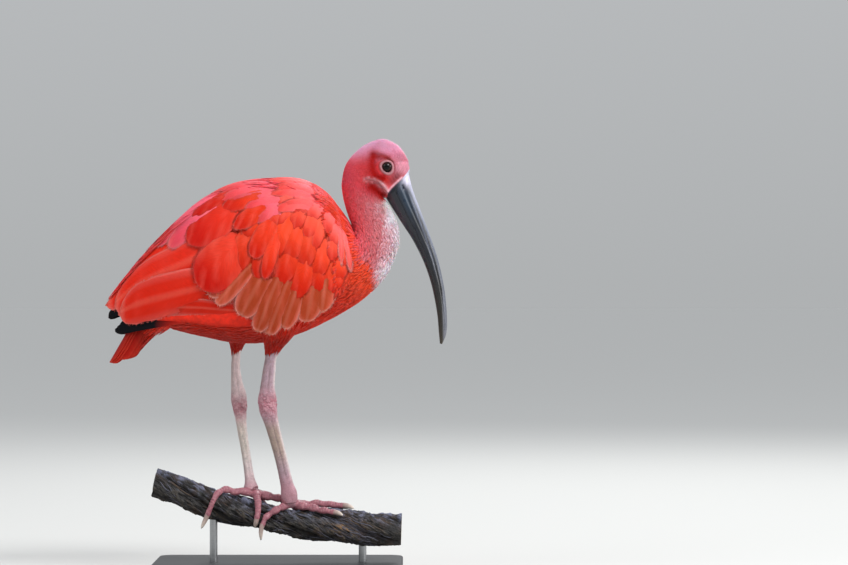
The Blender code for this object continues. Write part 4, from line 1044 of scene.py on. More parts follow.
def wing_vanes(side, tier, seed):
    """One tier of a folded wing: its vanes, and the loose barbs along their edges."""
    count, roots, tips, widths, lifts, roll, bends, code, pale, kind = TIERS[tier]
    own = np.random.default_rng(seed)
    soft = kind in ("covert", "scapular") or tier == "scapulars_far"
    share = np.linspace(0, 1, count)
    loose = [5.5, 3.4] if soft else [1.6, 1.0]
    root = smooth_rows(roots, share * (len(roots) - 1)) + own.uniform(-1, 1, (count, 2)) * [1.5, 1.0]
    tip = smooth_rows(tips, share * (len(tips) - 1)) + own.uniform(-1, 1, (count, 2)) * loose
    tip[:, 0] = np.maximum(tip[:, 0], WING_END)
    width = (widths[0] + (widths[1] - widths[0]) * share) * own.uniform(0.82, 1.24, count)
    bend = np.interp(share, np.linspace(0, 1, len(bends)), bends) + own.uniform(-0.02, 0.02, count) * soft
    run_x, turn = (tip - root)[:, 0], np.radians((tip - root)[:, 1])
    run_a = turn * girth_at((root + tip)[:, 0] / 2)
    length = np.hypot(run_x, run_a)
    ends = wing_point(tip[:, 0], np.radians(tip[:, 1]), np.zeros(count), 1)
    spacing = np.linalg.norm(np.diff(ends, axis=0), axis=1).mean()
    slope = roll * min((0.34 if soft else 0.5) / spacing, 0.1)
    blunt = own.uniform(0.8, 1.35, count) if soft else np.ones(count)
    shift = own.uniform(-0.08, 0.08, count)
    phase = own.uniform(0, 6, count)

    def half_width(i, v):
        return np.interp(v, *zip(*OUTLINES[kind])) ** blunt[i] * width[i] / 2

    def surface(i, v, off, more):
        """A place on feather i: v along it, off across it in millimetres, more above its face."""
        at_x = root[i, 0] + run_x[i] * v - run_a[i] / length[i] * off
        at_angle = np.radians(root[i, 1]) + turn[i] * v + bend[i] * np.sin(np.clip(v, 0, 1) * math.pi)
        at_angle = np.clip(at_angle + run_x[i] / length[i] * off / girth_at(at_x), -1.4, math.radians(89))
        u = np.clip(2 * off / width[i], -1.2, 1.2)
        rise = lifts[0] + (lifts[1] - lifts[0]) * (1 - (1 - np.minimum(v, 1)) ** (8 if soft else 4))
        rise += slope * (0.6 + 0.4 * v) * off + 0.18 * bell(u, 0.09) * (1 - 0.6 * v) - 0.018 * width[i] * u**2
        rise -= (0.42 if soft else 0.1) * np.maximum(u**4, ramp(v, 0.8, 1.0) ** 2)
        rise += 0.1 * np.sin(v * 9 + phase[i] + u * 2) * np.abs(u) + shift[i]
        return wing_point(at_x, at_angle, rise + more, side), at_x

    def colour_at(u, v, x, tone, sheen_pink):
        cloud = np.sin(0.5 * x + 2.5 * u + 30 * sheen_pink) * np.sin(9 * v + 0.2 * x)
        warm = ("FA6474" if tier in ROSY_TIERS else "F0462E") if soft else "EC4434"
        # Painted sheen: pink towards each feather's root, in a random share per feather
        layers = [(warm, 0.8 * sheen_pink * (ramp(v, 0.9, 0.35) if soft else (1 - v) ** 1.3))]
        if tier == "greater_coverts":
            layers.append(("98340E", 0.8 * ramp(x, -62, -24) * ramp(np.abs(u), 1.0, 0.5)))
        elif soft:
            layers.append(("BC0E02", (0.5 if pale > 0.12 else 0.78) * ramp(v, 0.5, 0.95)))
        layers += [
            ("FF7C6C", (0.14 if soft else 0.05) * ramp(cloud, -0.2, 0.9)),
            ("F4A49C", pale * np.abs(u) ** 9),
            ("F0B0A0", pale * 0.5 * ramp(v, 0.94, 1.0)),
            ("E89A84", 0.2 * bell(u, 0.07) * (pale > 0.38)),
        ]
        if tier == "primaries":
            layers.append(("06070E", ramp(-x, 97, 102)))
        return np.clip(mix(shade(code) * tone, *layers), 0, 1)

    index = np.arange(count)[:, None, None]
    v = np.broadcast_to(LENGTHWISE[None, :, None], (count, ROWS, COLUMNS))
    u = CROSSWISE * edge_wear(count)
    off = u * half_width(index, v)
    thick = 0.13 * (1 - 0.6 * np.abs(u))
    upper, at_x = surface(index, v, off, thick)
    lower, _ = surface(index, v, off, -thick)
    tone = own.uniform(0.86, 1.1, (count, 1, 1, 1))
    sheen_pink = own.uniform(0.15, 0.85, (count, 1, 1)) if soft else own.uniform(0.1, 0.3, (count, 1, 1))
    colour = colour_at(u, v, at_x, tone, sheen_pink)
    seeds = own.uniform(0, 30, (count, 1, 1))
    home = np.stack(wing_home(*root.T), -1)
    vane = np.stack([off / 10, v * length[:, None, None] / 10 + seeds], -1)
    bake = patch(home, np.stack([u / 2, v - 0.5], -1).reshape(count, -1, 2))
    # Painted shade: each vane's lower sheet is a darker copy of its upper one
    both = [np.stack(pair, 1) for pair in ((upper, lower), (colour, colour * 0.85), (vane, vane), (bake, bake))]
    vanes = flat(both[0], vane_faces(count), *both[1:])

    # Loose barbs along the edges
    number = 240 if soft else 0 if tier == "primaries" else 90
    v = own.uniform(0.3 if soft else 0.2, 1.0 if soft else 0.9, (count, number)) ** 0.6
    hand = np.where(own.random((count, number)) < 0.5, -1.0, 1.0)
    i = np.broadcast_to(np.arange(count)[:, None], v.shape)
    edge = half_width(i, v)
    reach = own.uniform(0.9, 3.4, v.shape) * (1.0 if soft else 0.4)
    fan = ramp(v, 0.8, 1.0)
    out_by, on_by = reach * (0.62 - 0.45 * fan), reach * (0.7 + 0.3 * fan) / length[:, None]
    step = 0.36 / length[:, None]
    bases = [surface(i, v + k * step, hand * (edge - inset), more)[0] for k, inset, more in BARB_FOOT]
    apex, x = surface(i, v + on_by, hand * (edge + out_by), own.uniform(-0.25, 0.15, v.shape))
    tint = colour_at(0.96 * hand, v, x, tone[:, :, 0], sheen_pink[:, :, 0])
    vane = np.stack([hand * edge / 10, v * length[:, None] / 10 + seeds[:, :, 0]], -1)
    bake = patch(home, np.stack([hand / 2, v - 0.5], -1))
    faces = repeated([[0, 1, 3], [1, 2, 3], [2, 0, 3], [0, 2, 1]], count * number, 4)
    fringe = flat(np.stack(bases + [apex], 2), faces, *(np.repeat(a[:, :, None], 4, 2) for a in (tint, vane, bake)))
    return [vanes, fringe]


# Foot of a loose barb: steps along the vane, distance in from its edge and height over it
BARB_FOOT = ((-1, 0.9, 0.12), (1, 0.9, 0.12), (0, 1.2, -0.1))


def gather(parts):
    """Several arrays of points, faces, colours and maps as one set."""
    starts = np.cumsum([0] + [len(part[0]) for part in parts])
    faces = np.vstack([part[1] + start_at for part, start_at in zip(parts, starts)])
    return [np.vstack([p[0] for p in parts]), faces] + [np.vstack([p[k] for p in parts]) for k in (2, 3, 4)]


def feathers(name, parts, finish, node):
    """Sets of vanes as one piece."""
    points, faces, tint, vane, bake = gather(parts)
    ride(mesh_object(name, points, faces, finish, tint, vane, bake), (node,))


def wing_coat(side, name, finishes):
    """All tiers of a folded wing, and the small feathers of its shoulder."""
    parts = []
    for number, tier in enumerate(TIERS):
        parts += wing_vanes(side, tier, 100 * number + (side > 0))
    feathers(f"feathers_{name}", parts, finishes["vane"], name)

    def surface(s, r):
        return wing_point(s, r, np.full(np.shape(s), -1.2), side)

    def keep(s, r, p):
        front = np.interp(np.degrees(r), [-14, 0, 20, 40, 70, 86], [61, 61, 60, 54, 47, 42])
        return s > front + draw.normal(0, 2.0, len(s))

    def gap_at(s, r):
        return np.interp(np.degrees(r), [20, 55], [1.2, 1.05])

    s, r, p, normal, _ = sown(surface, (8.0, math.radians(-14)), (68.0, math.radians(87)), gap_at, keep, 3.5)
    outward = np.array([0, side, 0])
    angle = np.degrees(r)
    length = about([20, 60], [10, 16], angle, 0.75, 1.2)
    fall = np.interp(angle, [-10, 20, 60, 87], [0.9, 0.8, 0.35, 0.05]) + draw.normal(0, 0.06, len(s))
    ends, end_normals, _ = surface_frame(surface, s - length * np.cos(fall), r - length * np.sin(fall) / 52)
    width = about([20, 55], [3.4, 2.3], angle, 0.75, 1.25)
    lift = (np.interp(s, [26, 50, 66], [2.2, 1.4, 0.2]), about([20, 45, 58, 66], [4.0, 3.9, 3.6, 2.6], s, 0.97, 1.03))
    found = tufts(p, facing(normal, outward), ends, facing(end_normals, outward), width, lift, 3, 0.0, 0.1, 0.16)
    cloud = np.array([noise.noise(Vector(place)) for place in (p * [0.09, 0.06, 0.12]).tolist()])
    tints = mix(
        marking(p),
        ("FF6E72", 0.4 * ramp(cloud, 0.0, 0.4) * ramp(angle, -6, 16)),
        ("D42408", 0.4 * ramp(-cloud, 0.0, 0.4)),
        ("E83C14", 0.6 * ramp(angle, 50, 66) * draw.random(len(s))),
    )
    name = name.replace("wing", "coat_shoulder")
    coat(name, found, tints, width, wing_home(s, angle), finishes["body"])


def back_coat(finish):
    """Long soft feathers down the spine, where the two folded wings meet."""

    def surface(s, r):
        return wing_point(s, math.pi / 2 - np.abs(r), np.zeros(np.shape(s)), np.where(r < 0, -1.0, 1.0))

    low, high = (-146.0, -0.5), (46.0, 0.5)
    s, r, p, normal, _ = sown(surface, low, high, lambda s, r: 3.6, lambda s, r, p: np.abs(r) < 0.5, 4.0)
    normal = unit(facing(normal, [0, 0, 1]) + [0, 0, 0.6])
    length = about([-146, -120, -60, 46], [8, 22, 30, 20], s, 0.8, 1.2)
    ends = surface(s - length, r * 0.9 + draw.normal(0, 0.03, len(s)))
    width = about([-146, -60, 46], [4.5, 7.5, 5.5], s, 0.8, 1.2)
    found = tufts(p, normal, ends, normal, width, (1.2, draw.uniform(2.8, 3.3, len(s))), 5, 0.0, 0.4, 0.22)
    # Painted sheen: pinker, brighter feathers along the top of the spine, most towards the rump
    tints = mix(marking(p), ("FA5058", draw.uniform(0.3, 0.9, len(s)) * ramp(30 - s, 0, 40))) * 1.06
    home = (wing_home(s, 0)[0], 0.5 + r / 3)
    coat("coat_back", found, tints, width, home, finish, tip=0.1, vary=0.12)


# Tail feathers, as pairs from the middle out: place round the tail in degrees, and length
TAIL_PAIRS = ((5, 61), (11, 60.5), (18, 60), (48, 53), (57, 51), (66, 49))


def tail_feathers(finishes):
    """Twelve tail feathers round an arc that opens downwards, in two overlapping stacks."""
    slope = math.radians(-60)
    ahead = np.array([-math.cos(slope), 0, math.sin(slope)])
    across = np.array([0, 1, 0])
    up = np.cross(across, ahead)
    parts = []
    v = LENGTHWISE[:, None]
    outline = np.interp(v, *zip(*OUTLINES["tail"]))
    for i in range(12):
        degrees, length = TAIL_PAIRS[i // 2]
        place = (1 if i % 2 else -1) * math.radians(degrees)
        reach = 11 + 3 * v - i * 0.5
        u = CROSSWISE * edge_wear(1)[0]
        turn = place + u * 9.6 * outline / np.maximum(reach, 5)
        middle = np.array([-121, 0, 246]) + ahead * (length * v[..., None]) - up * (11 + 3 * v)[..., None]
        out = np.sin(turn)[..., None] * across + np.cos(turn)[..., None] * up
        height = reach + 0.2 * bell(u, 0.09) - 0.5 * u**2
        points = np.stack([middle + out * (height + h)[..., None] for h in (0.2, -0.2)])
        along = np.broadcast_to(v, (ROWS, COLUMNS))
        colour = mix(
            shade("A01206") * draw.uniform(0.92, 1.06),
            ("D8503C", 0.35 * u**6 + 0.2 * ramp(along, 0.92, 1.0)),
            ("6A0804", 0.6 * (1 - along)),
        )
        vane = np.stack([u * outline, along * length / 10 + i * 7], -1)
        bake = np.array([0.5 + place / 8, 0.5]) + np.stack([u / 2, along - 0.5], -1) * BAKE_PATCH
        maps = [np.tile(m, (2, 1, 1)) for m in (np.clip(colour, 0, 1), vane, bake)]
        parts.append(flat(points, vane_faces(1), *maps))
    feathers("feathers_tail", parts, finishes["vane"], "tail")

    def surface(s, r):
        return section_point(TAIL_STUMP, s, r, 1.0)

    low, high = (0.0, 0.0), (2.6, 2 * math.pi)
    s, r, p, normal, lie = sown(surface, low, high, lambda s, r: 1.5, lambda s, r, p: p[:, 0] > -130, 3.0)
    x_top, z_top, x_low, z_low, _ = smooth_rows(TAIL_STUMP, s).T
    normal = facing(normal, p - np.stack([(x_top + x_low) / 2, 0 * s, (z_top + z_low) / 2], -1))
    lie = unit(turned(lie, normal, 0.12) + ahead * 0.5)
    length, width = draw.uniform(14, 24, len(s)), draw.uniform(2.2, 3.2, len(s))
    lift = (-0.3, draw.uniform(1.0, 2.0, len(s)))
    found = tufts(p, normal, p + lie * length[:, None], normal, width, lift, 4, 0.0, 0.3, 0.25)
    home = (r / (2 * math.pi), s / 3)
    coat("coat_tail", found, marking(p), width, home, finishes["body"], tip=0.2)


# Bill, eyes, legs and claws


def bill_half(name, share_from, share_to, finish):
    """Half of the closed bill, with the long groove on each side and the nostril slot in it."""
    t = np.concatenate([np.linspace(0.2, 1, 12, endpoint=False), np.linspace(1, len(BILL) - 1, 170)])
    shares = share_from + (share_to - share_from) * (0.5 - 0.5 * np.cos(np.linspace(0, 1, 26) * math.pi))
    row = smooth_rows(BILL, t)
    top, low = row[:, 0:2], row[:, 2:4]
    tt, ss = crossed(t, shares)
    round_off = np.sqrt(np.maximum(0, 1 - ((ss - 0.5) / 0.5) ** 2))
    fade = ramp(tt, 0.9, 1.5) * ramp(8.6 - tt, 0, 1.5)
    groove = (0.16 * bell(ss - 0.66, 0.055) + 0.02 * bell(ss - 0.5, 0.08)) * fade
    nostril = 0.2 * bell(ss - 0.665, 0.035) * np.exp(-(((tt - 1.32) / 0.17) ** 4))
    lip = 0.05 * bell(ss - MOUTH, 0.05) * fade
    wrinkle = 0.014 * np.sin(tt * 46 + ss * 5) * ramp(1.9 - tt, 0, 1.2) * ramp(tt, 1, 1.2)
    out = row[:, 4:5] * np.maximum(round_off - groove - nostril + lip + wrinkle, 0)
    middle = low[:, None, :] + (top - low)[:, None, :] * ss[..., None]
    right, left = (np.stack([middle[..., 0], side * out, middle[..., 1]], -1) for side in (-1, 1))
    # The halves meet in a shallow ridge, so that no light passes between them.
    ridge = low + (top - low) * (MOUTH + 0.04 + (0.006 if share_to >= 1 else -0.006))
    ridge = np.stack([ridge[:, 0], 0 * t, ridge[:, 1]], -1)[:, None, :]
    if share_to >= 1.0:
        grid = np.concatenate([ridge, right, left[:, -2::-1]], 1)
    else:
        grid = np.concatenate([right[:, 1:], ridge, left[:, :0:-1], right[:, :1]], 1)
    points, faces = loft_arrays(grid)
    made = mesh_object(name, points, faces, finish, np.clip(horn_colour(points), 0, 1))
    ride(crisp(made), (name.replace("_horn", ""),))


def eyes(finish):
    """Glass eyes, each a ball with a slightly raised front."""
    for side, name in ((1, "eye_left"), (-1, "eye_right")):
        ll, tt = crossed(np.linspace(0.03, math.pi - 0.03, 40), ring_of(48))
        dome = 1 + 0.05 * bell(ll, 0.5)
        grid = np.stack([np.sin(ll) * np.cos(tt), side * np.cos(ll) * dome, np.sin(ll) * np.sin(tt)], -1) * EYE_RADIUS
        grid = grid + np.array([EYE[0], side * EYE[1], EYE[2]])
        ride(mesh_object(f"{name}_glass", *loft_arrays(grid), finish), (name,))


# A third of the way round: each of the vine's three strands has that much
LOBE = 2 * math.pi / 3


def in_lobe(turn):
    """Angle from the middle of the nearest strand."""
    return (turn + LOBE / 2) % LOBE - LOBE / 2


def vine_radius(x, turn):
    half = rows_at(VINE, x)[1]
    local = in_lobe(turn - 2 * math.pi * x / VINE_PITCH)
    return 0.4 * half * np.cos(local) + np.sqrt((0.72 * half) ** 2 - (0.4 * half * np.sin(local)) ** 2)


def off_vine(x, turn, reach):
    """A point at a distance from the vine's middle line, at x and an angle round it."""
    z = rows_at(VINE, x)[0]
    slope = np.arctan2(rows_at(VINE, x + 1)[0] - rows_at(VINE, x - 1)[0], 2)
    middle = np.stack([x + 0 * z, 0 * z, z], -1)
    up = np.stack([-np.sin(slope), 0 * slope, np.cos(slope)], -1)
    return middle + np.array([0, 1, 0]) * (np.cos(turn) * reach)[..., None] + up * (np.sin(turn) * reach)[..., None]


def vine_point(x, turn, lift):
    """A point over the bark: x, the angle round the vine and the height over its strands."""
    spread = math.radians(20)
    return off_vine(x, turn, np.maximum.reduce([vine_radius(x, turn + off) for off in (-spread, 0, spread)]) + lift)


def toe_radius(toe, share):
    thick, thin = TOE_RADII[toe]
    return (thick + (thin - thick) * share) * (1 + 0.09 * np.cos(share * 6 * math.pi))


def pad_centre(side_name):
    x, angle = FEET[side_name]["pad"]
    return vine_point(np.float64(x), math.radians(angle), 5.3)


def toe_line(side_name, toe, count):
    places = np.array(FEET[side_name][toe][:-1], float)
    share = np.linspace(0, 1, count)
    row = smooth_rows(places, share * (len(places) - 1))
    line = vine_point(row[:, 0], np.radians(row[:, 1]), row[:, 2] + toe_radius(toe, share) + 0.45)
    return np.vstack([pad_centre(side_name), line]), np.concatenate([[toe_radius(toe, 0.0)], toe_radius(toe, share)])


def leg_mesh(side_name, finish):
    """Leg, pad and toes grown into one even skin, with their middle lines and the length run along each."""
    t, turn = crossed(np.linspace(2.5, 12.95, 200), ring_of(40))
    skin = leg_point(side_name, t, turn, np.interp(t, [2.5, 2.9], [0.9, 0.0]))
    made = mesh_object(f"leg_{side_name}_skin", *loft_arrays(skin), finish)
    ll, cc = crossed(np.linspace(0.05, math.pi - 0.05, 20), ring_of(28))
    pad = np.stack([8.0 * np.sin(ll) * np.cos(cc), 7.2 * np.sin(ll) * np.sin(cc), 4.3 * np.cos(ll)], -1)
    others = [mesh_object("pad", *loft_arrays(pad + pad_centre(side_name)), finish)]
    lines = [smooth_rows(LEGS[side_name], np.linspace(2.9, 12.95, 240))[:, :3]]
    for toe in TOE_RADII:
        line, radii = toe_line(side_name, toe, 60)
        radii = radii * (1 - 0.10 * ramp(np.linspace(0, 1, len(line)), 0.93, 1.0))
        others.append(mesh_object("toe", *loft_arrays(tube_grid(line, radii, 20)), finish))
        lines.append(line)
    fuse(made, others)
    remesh = made.modifiers.new("even", "REMESH")
    remesh.mode = "VOXEL"
    remesh.voxel_size = 0.5 * MM
    made.modifiers.new("settle", "SMOOTH").iterations = 5
    apply_modifiers(made)
    runs = [np.append(0, np.cumsum(np.linalg.norm(np.diff(line, axis=0), axis=1))) for line in lines]
    return made, np.vstack(lines), np.concatenate(runs), len(lines[0])


# Height of the ankle's bend on each leg
ANKLE = {"left": 152, "right": 156}
# Skin, shin, ankle, and how strong mottling and tendon show; the left leg is the paler one, its paler skin and shin
# being painted light
LEG_LOOKS = {"left": ("DECCCC", "DAD0C2", "96606A", 0.15, 0.2), "right": ("A98E98", "A08E7A", "A86E7A", 0.5, 0.5)}


def leg(side_name, finish):
    """Bare leg and foot as one skin, with scales, scutes, wrinkles at the ankle and pads under the toes."""
    made, marks, runs, leg_marks = leg_mesh(side_name, finish)
    mesh = made.data
    where = mesh_points(mesh)
    tree = KDTree(len(marks))
    for i, point in enumerate(marks.tolist()):
        tree.insert(point, i)
    tree.balance()
    nearest = np.array([tree.find(p)[1] for p in where.tolist()])
    rough, fine = (np.array([noise.noise(Vector(p) * scale) for p in where.tolist()]) for scale in (0.55, 1.7))
    n = np.empty(len(where) * 3, np.float32)
    mesh.vertices.foreach_get("normal", n)
    n = n.reshape(-1, 3)
    x, y, z = where.T
    far, leg_part, off = runs[nearest], nearest < leg_marks, where - marks[nearest]
    ankle = bell(z - ANKLE[side_name], 11.5)
    folds = np.sin((z * 0.5 + off[:, 0] * 0.8) * 0.95 + 4.2 * rough + 0.8 * np.sin(y * 0.7))
    scutes = np.abs(np.sin(z * 0.95)) ** 0.45 * 0.2 * ramp(n[:, 0], 0.15, 0.5) * (1 - ankle)
    tendon = bell(off[:, 0] - 0.9, 0.8) * (1 - ankle) * ramp(z, 84, 96) * ramp(196 - z, 0, 14)
    net = 0.1 * np.sin(x * 3.1 + z * 2.3 + fine * 3) * np.sin(y * 3.1 - z * 2.6) * (n[:, 0] < 0.4)
    on_shank = ankle * (0.26 * folds + 0.6 * rough) + scutes - 0.35 * tendon + net
    scales = (np.abs(np.sin(far * 1.3)) ** 0.5 - 0.7) * 0.42 * ramp(n[:, 2], -0.2, 0.5)
    pads = (np.abs(np.sin(far * 0.36 + 0.8)) - 0.4) * 0.5 * ramp(-n[:, 2], 0.0, 0.6)
    knuckle = 0.2 * np.cos(far * 0.62) * ramp(far, 6, 12)
    moved = np.where(leg_part, on_shank, scales + pads + knuckle) + 0.12 * fine
    mesh.vertices.foreach_set("co", ((where + n * moved[:, None]) * MM).astype(np.float32).ravel())
    mesh.update()
    mesh.shade_smooth()
    skin, shin, joint, mottle, dark = LEG_LOOKS[side_name]
    leg_colour = mix(
        np.broadcast_to(shade(skin), where.shape),
        (shin, 0.75 * ramp(146 - z, 0, 14) * ramp(z, 92, 120)),
        ("8E7478", mottle * ramp(rough, 0.0, 0.5)),
        # Painted highlight down the front of the leg
        ("E0D2D0", 0.75 * ramp(n[:, 0], 0.5, 0.95) * (1 - ankle)),
        ("6E5A5A", dark * tendon),
        # Painted shade down the back of the leg
        ("76625C", 0.5 * ramp(-n[:, 0], 0.1, 0.85) * (1 - ankle)),
        (joint, 0.9 * ankle),
        # Painted shade in the troughs of the ankle's folds and painted highlight on their crests
        ("9A4854", 0.55 * ankle * ramp(-folds, 0.5, 1.0)),
        ("D0A0A6", 0.45 * ankle * ramp(folds, 0.55, 1.0)),
        ("AC7C86", 0.9 * ramp(100 - z, 0, 22) * leg_part),
    )
    toe_colour = mix("9A5F6A", ("5E3038", 0.75 * ramp(-scales, 0.02, 0.16)), ("B88488", 0.5 * ramp(rough, 0.05, 0.5)))
    set_tint(mesh, np.clip(np.where(leg_part[:, None], leg_colour, toe_colour), 0, 1))
    ride(made, (f"shank_{side_name}", f"tarsus_{side_name}", f"foot_{side_name}"))


CLAW_COLOURS = ((0, "9A7C78"), (0.3, "A08C84"), (0.7, "C4B4A8"), (1, "E4DAD0"))
CLAW_RINGS, CLAW_SIDES = 24, 18


def claws(finish):
    """Claws, each going on from its toe and bending down to the bark."""
    for side_name in FEET:
        for toe in TOE_RADII:
            line, _ = toe_line(side_name, toe, 7)
            ahead = unit(line[-1] - line[-2])
            first = line[-1] - ahead * 0.9
            last, tip = (np.array(place, float) for place in FEET[side_name][toe][-2:])
            radius = toe_radius(toe, 1.0)
            held = []
            for share in (0.66, 1.0):
                x, angle, lift = last + (tip - last) * share
                over = lift + radius * (1.05 - 0.8 * share**2) + 0.45
                held.append(vine_point(np.float64(x), math.radians(angle), over))
            bow = first + ahead * np.linalg.norm(held[1] - first) * 0.48
            path = interpolate_bezier(*(Vector(place) for place in (first, bow, *held)), CLAW_RINGS)
            share = np.linspace(0, 1, CLAW_RINGS)
            radii = radius * 0.94 * np.sqrt(np.maximum(1 - share**1.7, 0.004))
            grid = tube_grid(np.array([tuple(p) for p in path]), radii, CLAW_SIDES)
            tint = blend_row(np.append(np.repeat(share, CLAW_SIDES), [0, 1]), CLAW_COLOURS)
            made = mesh_object(f"claw_{side_name}_{toe}_horn", *loft_arrays(grid), finish, tint)
            ride(made, (f"claw_{side_name}_{toe}",))


# Vine and stand

# Where bark has frayed on the vine: x and the angle round it
FRAY_AT = (60, 3.0)
FIBRE_COLOURS = ("46444A", "60606C", "54483E", "38363A", "504E56")


def vine(finish, cut_finish):
    """A cut length of vine, three strands twisted together under fibrous bark, with loose fibres on it."""
    rings, sides = 380, 180
    xx, base = crossed(np.linspace(-111, 111, rings), ring_of(sides))
    turn = base + 2 * math.pi * xx / VINE_PITCH
    local = in_lobe(base)
    groove = bell(np.abs(local) - LOBE / 2, 0.17)

    def bark(length, width, power, seed):
        """Noise drawn out along the strands, as bark fibres of about that length and width in millimetres."""
        girth = 13.0 / width
        spots = [(xx + 5.4 * local) / length, np.cos(base + 0.25 * local) * girth, np.sin(base) * girth + seed]
        spots = np.stack(spots, -1).reshape(-1, 3).tolist()
        return np.array([noise.fractal(Vector(p), power, 2.1, 4) for p in spots]).reshape(xx.shape)

    cords, strings = (1 - np.abs(bark(*found)) * 2.2 for found in ((26, 6.0, 0.9, 3.0), (8, 2.2, 0.7, 11.0)))
    lumps = bark(7, 6.0, 0.8, 7.0)
    relief = 0.9 * cords + 0.8 * strings + 1.3 * lumps
    relief = relief - np.quantile(relief, 0.75)
    points, faces = loft_arrays(off_vine(xx, turn, vine_radius(xx, turn) + relief - 2.6 * groove))
    upward = ramp(np.sin(turn), -0.1, 1.0)
    fray = bell(xx - 63, 17) * bell(turn % (2 * math.pi) - 3.0, 0.5)
    colour = mix(
        np.broadcast_to(shade("3C3B3B"), xx.shape + (3,)),
        # Painted highlight: bluish grey on the top of the raised bark
        ("7C829C", 0.85 * upward * ramp(relief, -0.5, 0.6)),
        ("57524A", 0.5 * (1 - upward) * ramp(relief, -0.3, 0.6)),
        # Painted shade in the low bark and in the grooves between the strands
        ("191614", 0.75 * ramp(-relief, 0.4, 1.8)),
        ("151210", 0.7 * groove),
        ("4C3E30", 0.25 * ramp(lumps, 0.15, 0.6)),
        ("94704C", 0.75 * fray * ramp(strings, 0.5, 0.9)),
    )
    colour = np.vstack([np.clip(colour, 0, 1).reshape(-1, 3), np.tile(shade("8A7058"), (2, 1))])
    grain = np.vstack([np.stack([base.ravel() * 1.3, xx.ravel() / 10], -1), [[0, 0], [0, 1]]])
    made = mesh_object("vine_bark", points, faces, finish, colour, grain)
    made.data.materials.append(cut_finish)
    for polygon in made.data.polygons[-2 * sides :]:
        polygon.material_index = 1
        polygon.use_smooth = False
    ride(made, ("perch_vine",))

    # Loose fibres, every fourth of them where the bark has frayed
    parts = []
    for number in range(320):
        start_x, turn_at, length = draw.uniform(-108, 96), draw.uniform(0, 2 * math.pi), draw.uniform(7, 24)
        if number % 4 == 0:
            start_x, turn_at = draw.normal(FRAY_AT[0], 12), draw.normal(FRAY_AT[1], 0.45)
            turn_at -= 2 * math.pi * FRAY_AT[0] / VINE_PITCH
        s = np.linspace(0, 1, 10)
        along = np.clip(start_x + length * s, -110.5, 110.5)
        wander = turn_at + draw.normal(0, 0.16) * s + 0.06 * np.sin(s * 5 + draw.uniform(0, 6))
        around = wander + 2 * math.pi * along / VINE_PITCH
        loose = draw.uniform(-0.5, 0.2) + draw.uniform(0, 2.0) * (s - 0.5) ** 4 * 8 * (draw.random() < 0.3)
        line = off_vine(along, around, vine_radius(along, around) + loose)
        radii = draw.uniform(0.2, 0.45) * np.sqrt(np.maximum(1 - (2 * s - 1) ** 4, 0.06))
        points, faces = loft_arrays(tube_grid(line, radii, 5))
        tint = np.tile(shade(FIBRE_COLOURS[int(draw.integers(5))]), (len(points), 1))
        map_at = np.zeros((len(points), 2)) + draw.uniform(0, 20, 2)
        parts.append((points, faces, tint, map_at, map_at))
    points, faces, tint, grain, _ = gather(parts)
    ride(mesh_object("vine_fibres", points, faces, finish, tint, grain), ())


# The base's half sizes, and its rounded edges: how far in and how high
BASE_HALF, BASE_CORNER = (112, 72), 12
BASE_EDGE = ((0.7, 0), (0.2, 0.2), (0, 0.7), (0, 12.2), (0.15, 12.9), (0.6, 13.55), (1.2, 13.9), (1.8, 14), (40, 14))


def stand(wood, steel):
    """Lacquered base with rounded edges, and two steel rods up into the vine."""
    corners, arc = [], 14
    for quarter, (sx, sy) in enumerate(((1, 1), (-1, 1), (-1, -1), (1, -1))):
        turn = math.pi / 2 * (quarter + np.arange(arc + 1) / arc)
        middle = [sx * (BASE_HALF[0] - BASE_CORNER), sy * (BASE_HALF[1] - BASE_CORNER)]
        corners.append(middle + BASE_CORNER * np.stack([np.cos(turn), np.sin(turn)], -1))
    corners = np.vstack(corners)
    shares = [(1 - inset / np.array(BASE_HALF), z) for inset, z in BASE_EDGE]
    rings = np.array([np.column_stack([corners * share, np.full(len(corners), z)]) for share, z in shares])
    ride(crisp(mesh_object("stand_plinth", *loft_arrays(rings), wood)), ("stand_base",))
    for number, x in enumerate((-58.0, 76.0), 1):
        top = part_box(f"stand_rod_{number}")[1][2] / MM
        line = np.array([(x, 0, z) for z in (6.0, 13.0, 14.0, (14 + top) / 2, top - 4, top)])
        rod = mesh_object(f"stand_rod_{number}_steel", *loft_arrays(tube_grid(line, np.full(6, 3.5), 48)), steel)
        ride(crisp(rod), (f"stand_rod_{number}",))


# Studio

# Lamps: place, size and power
LAMPS = {
    "key": ((1.3, -1.5, 2.1), 0.9, 46),
    "fill": ((-1.8, -1.2, 1.5), 1.4, 12),
    "rim": ((0.6, 1.7, 1.7), 0.9, 20),
    "front": ((2.1, -0.7, 0.8), 1.2, 15),
}
# What the lamps point at, half way up
AIM = (0, 0, 0.24)
# A soft dome: at the horizon as bright as the far floor, so that no edge shows between them, and brightest overhead
DOME = ((0.0, (0.524, 0.540, 0.549, 1)), (0.7, (0.92, 0.95, 1.0, 1)))


def placed(name, data, place, turn=(0, 0, 0)):
    made = bpy.data.objects.new(name, data)
    made.location, made.rotation_euler = place, turn
    bpy.context.scene.collection.objects.link(made)
    return made


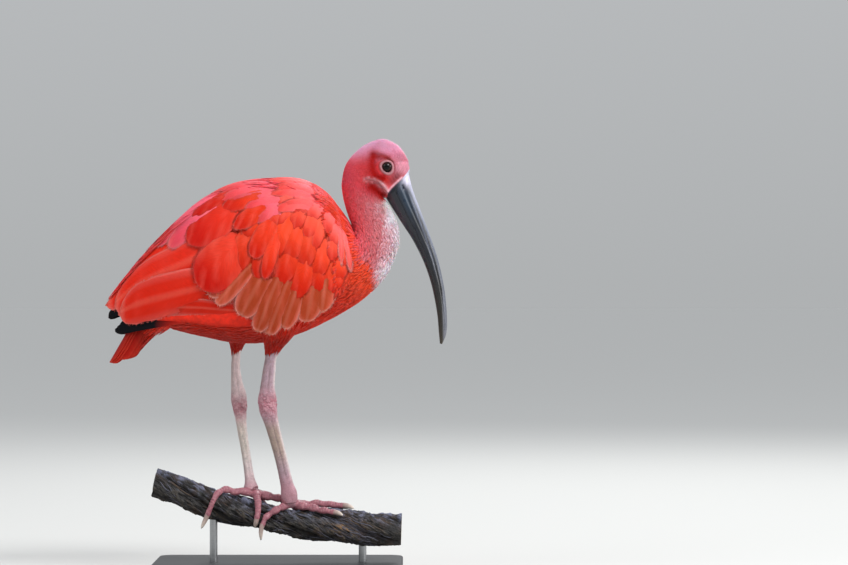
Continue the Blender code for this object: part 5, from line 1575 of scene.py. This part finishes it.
def studio():
    """Soft dome, four lamps, a paper floor and a camera that sees the bird from the photo's side."""
    world = bpy.data.worlds.new("soft_studio")
    bpy.context.scene.world = world
    world.use_nodes = True
    tree = world.node_tree
    height = add(tree, "SeparateXYZ", {0: add(tree, "TexCoord", out="Generated")}, "Z")
    rise = add(tree, "ValToRGB", {0: height})
    for stop, (position, colour) in zip(rise.node.color_ramp.elements, DOME):
        stop.position, stop.color = position, colour
    tree.links.new(rise, tree.nodes["Background"].inputs["Color"])
    tree.nodes["Background"].inputs["Strength"].default_value = 0.82
    bpy.context.scene.view_settings.view_transform = "Standard"
    mesh = bpy.data.meshes.new("studio_floor")
    mesh.from_pydata([(-30, -30, 0), (30, -30, 0), (30, 30, 0), (-30, 30, 0)], [], [(0, 1, 2, 3)])
    # Matt grey paper: it throws light back evenly, with no gloss to draw the eye.
    mesh.materials.append(start("matt_paper", Base_Color=rgba("CCCCC9"), Roughness=0.95, Specular_IOR_Level=0.1)[0])
    placed("studio_floor", mesh, (0, 0, 0))
    for name, (place, size, power) in LAMPS.items():
        lamp = bpy.data.lights.new(name, "AREA")
        lamp.shape, lamp.size, lamp.energy = "DISK", size, power
        placed(name, lamp, place, (Vector(AIM) - Vector(place)).to_track_quat("-Z", "Y").to_euler())
    lens = bpy.data.cameras.new("camera")
    lens.lens, lens.sensor_width = 135, 36
    bpy.context.scene.camera = placed("camera", lens, (0.13131, -2.862, 0.265), (math.pi / 2, 0, 0))


def main():
    finishes = {
        "body": feather_finish("scarlet_contour_feather", 0.58, 1.0, 0.15, 0.02),
        "vane": feather_finish("scarlet_wing_vane", 0.55, 1.2, 0.08, 0.02),
        "neck": feather_finish("ruffled_neck_feather", 0.65, 0.8, 0.12, 0.05),
        "down": feather_finish("short_head_feather", 0.65, 0.7, 0.1, 0.03),
    }
    tree = build_skin(skin_finish())
    body_coats(tree, finishes)
    thigh_coat(finishes["body"])
    wing_coat(1, "wing_left", finishes)
    wing_coat(-1, "wing_right", finishes)
    back_coat(finishes["body"])
    tail_feathers(finishes)
    horn = horn_finish("bill_horn", 0.75, 1.25, 0.32)
    bill_half("bill_upper_horn", MOUTH + 0.006, 1.0, horn)
    bill_half("bill_lower_horn", 0.0, MOUTH - 0.006, horn)
    eyes(eye_finish())
    scales = leg_finish()
    for side_name in LEGS:
        leg(side_name, scales)
    claws(horn_finish("claw_horn", 0.8, 1.15, 0.4))
    vine(bark_finish(), cut_wood_finish())
    stand(lacquer_finish(), steel_finish())
    studio()


main()
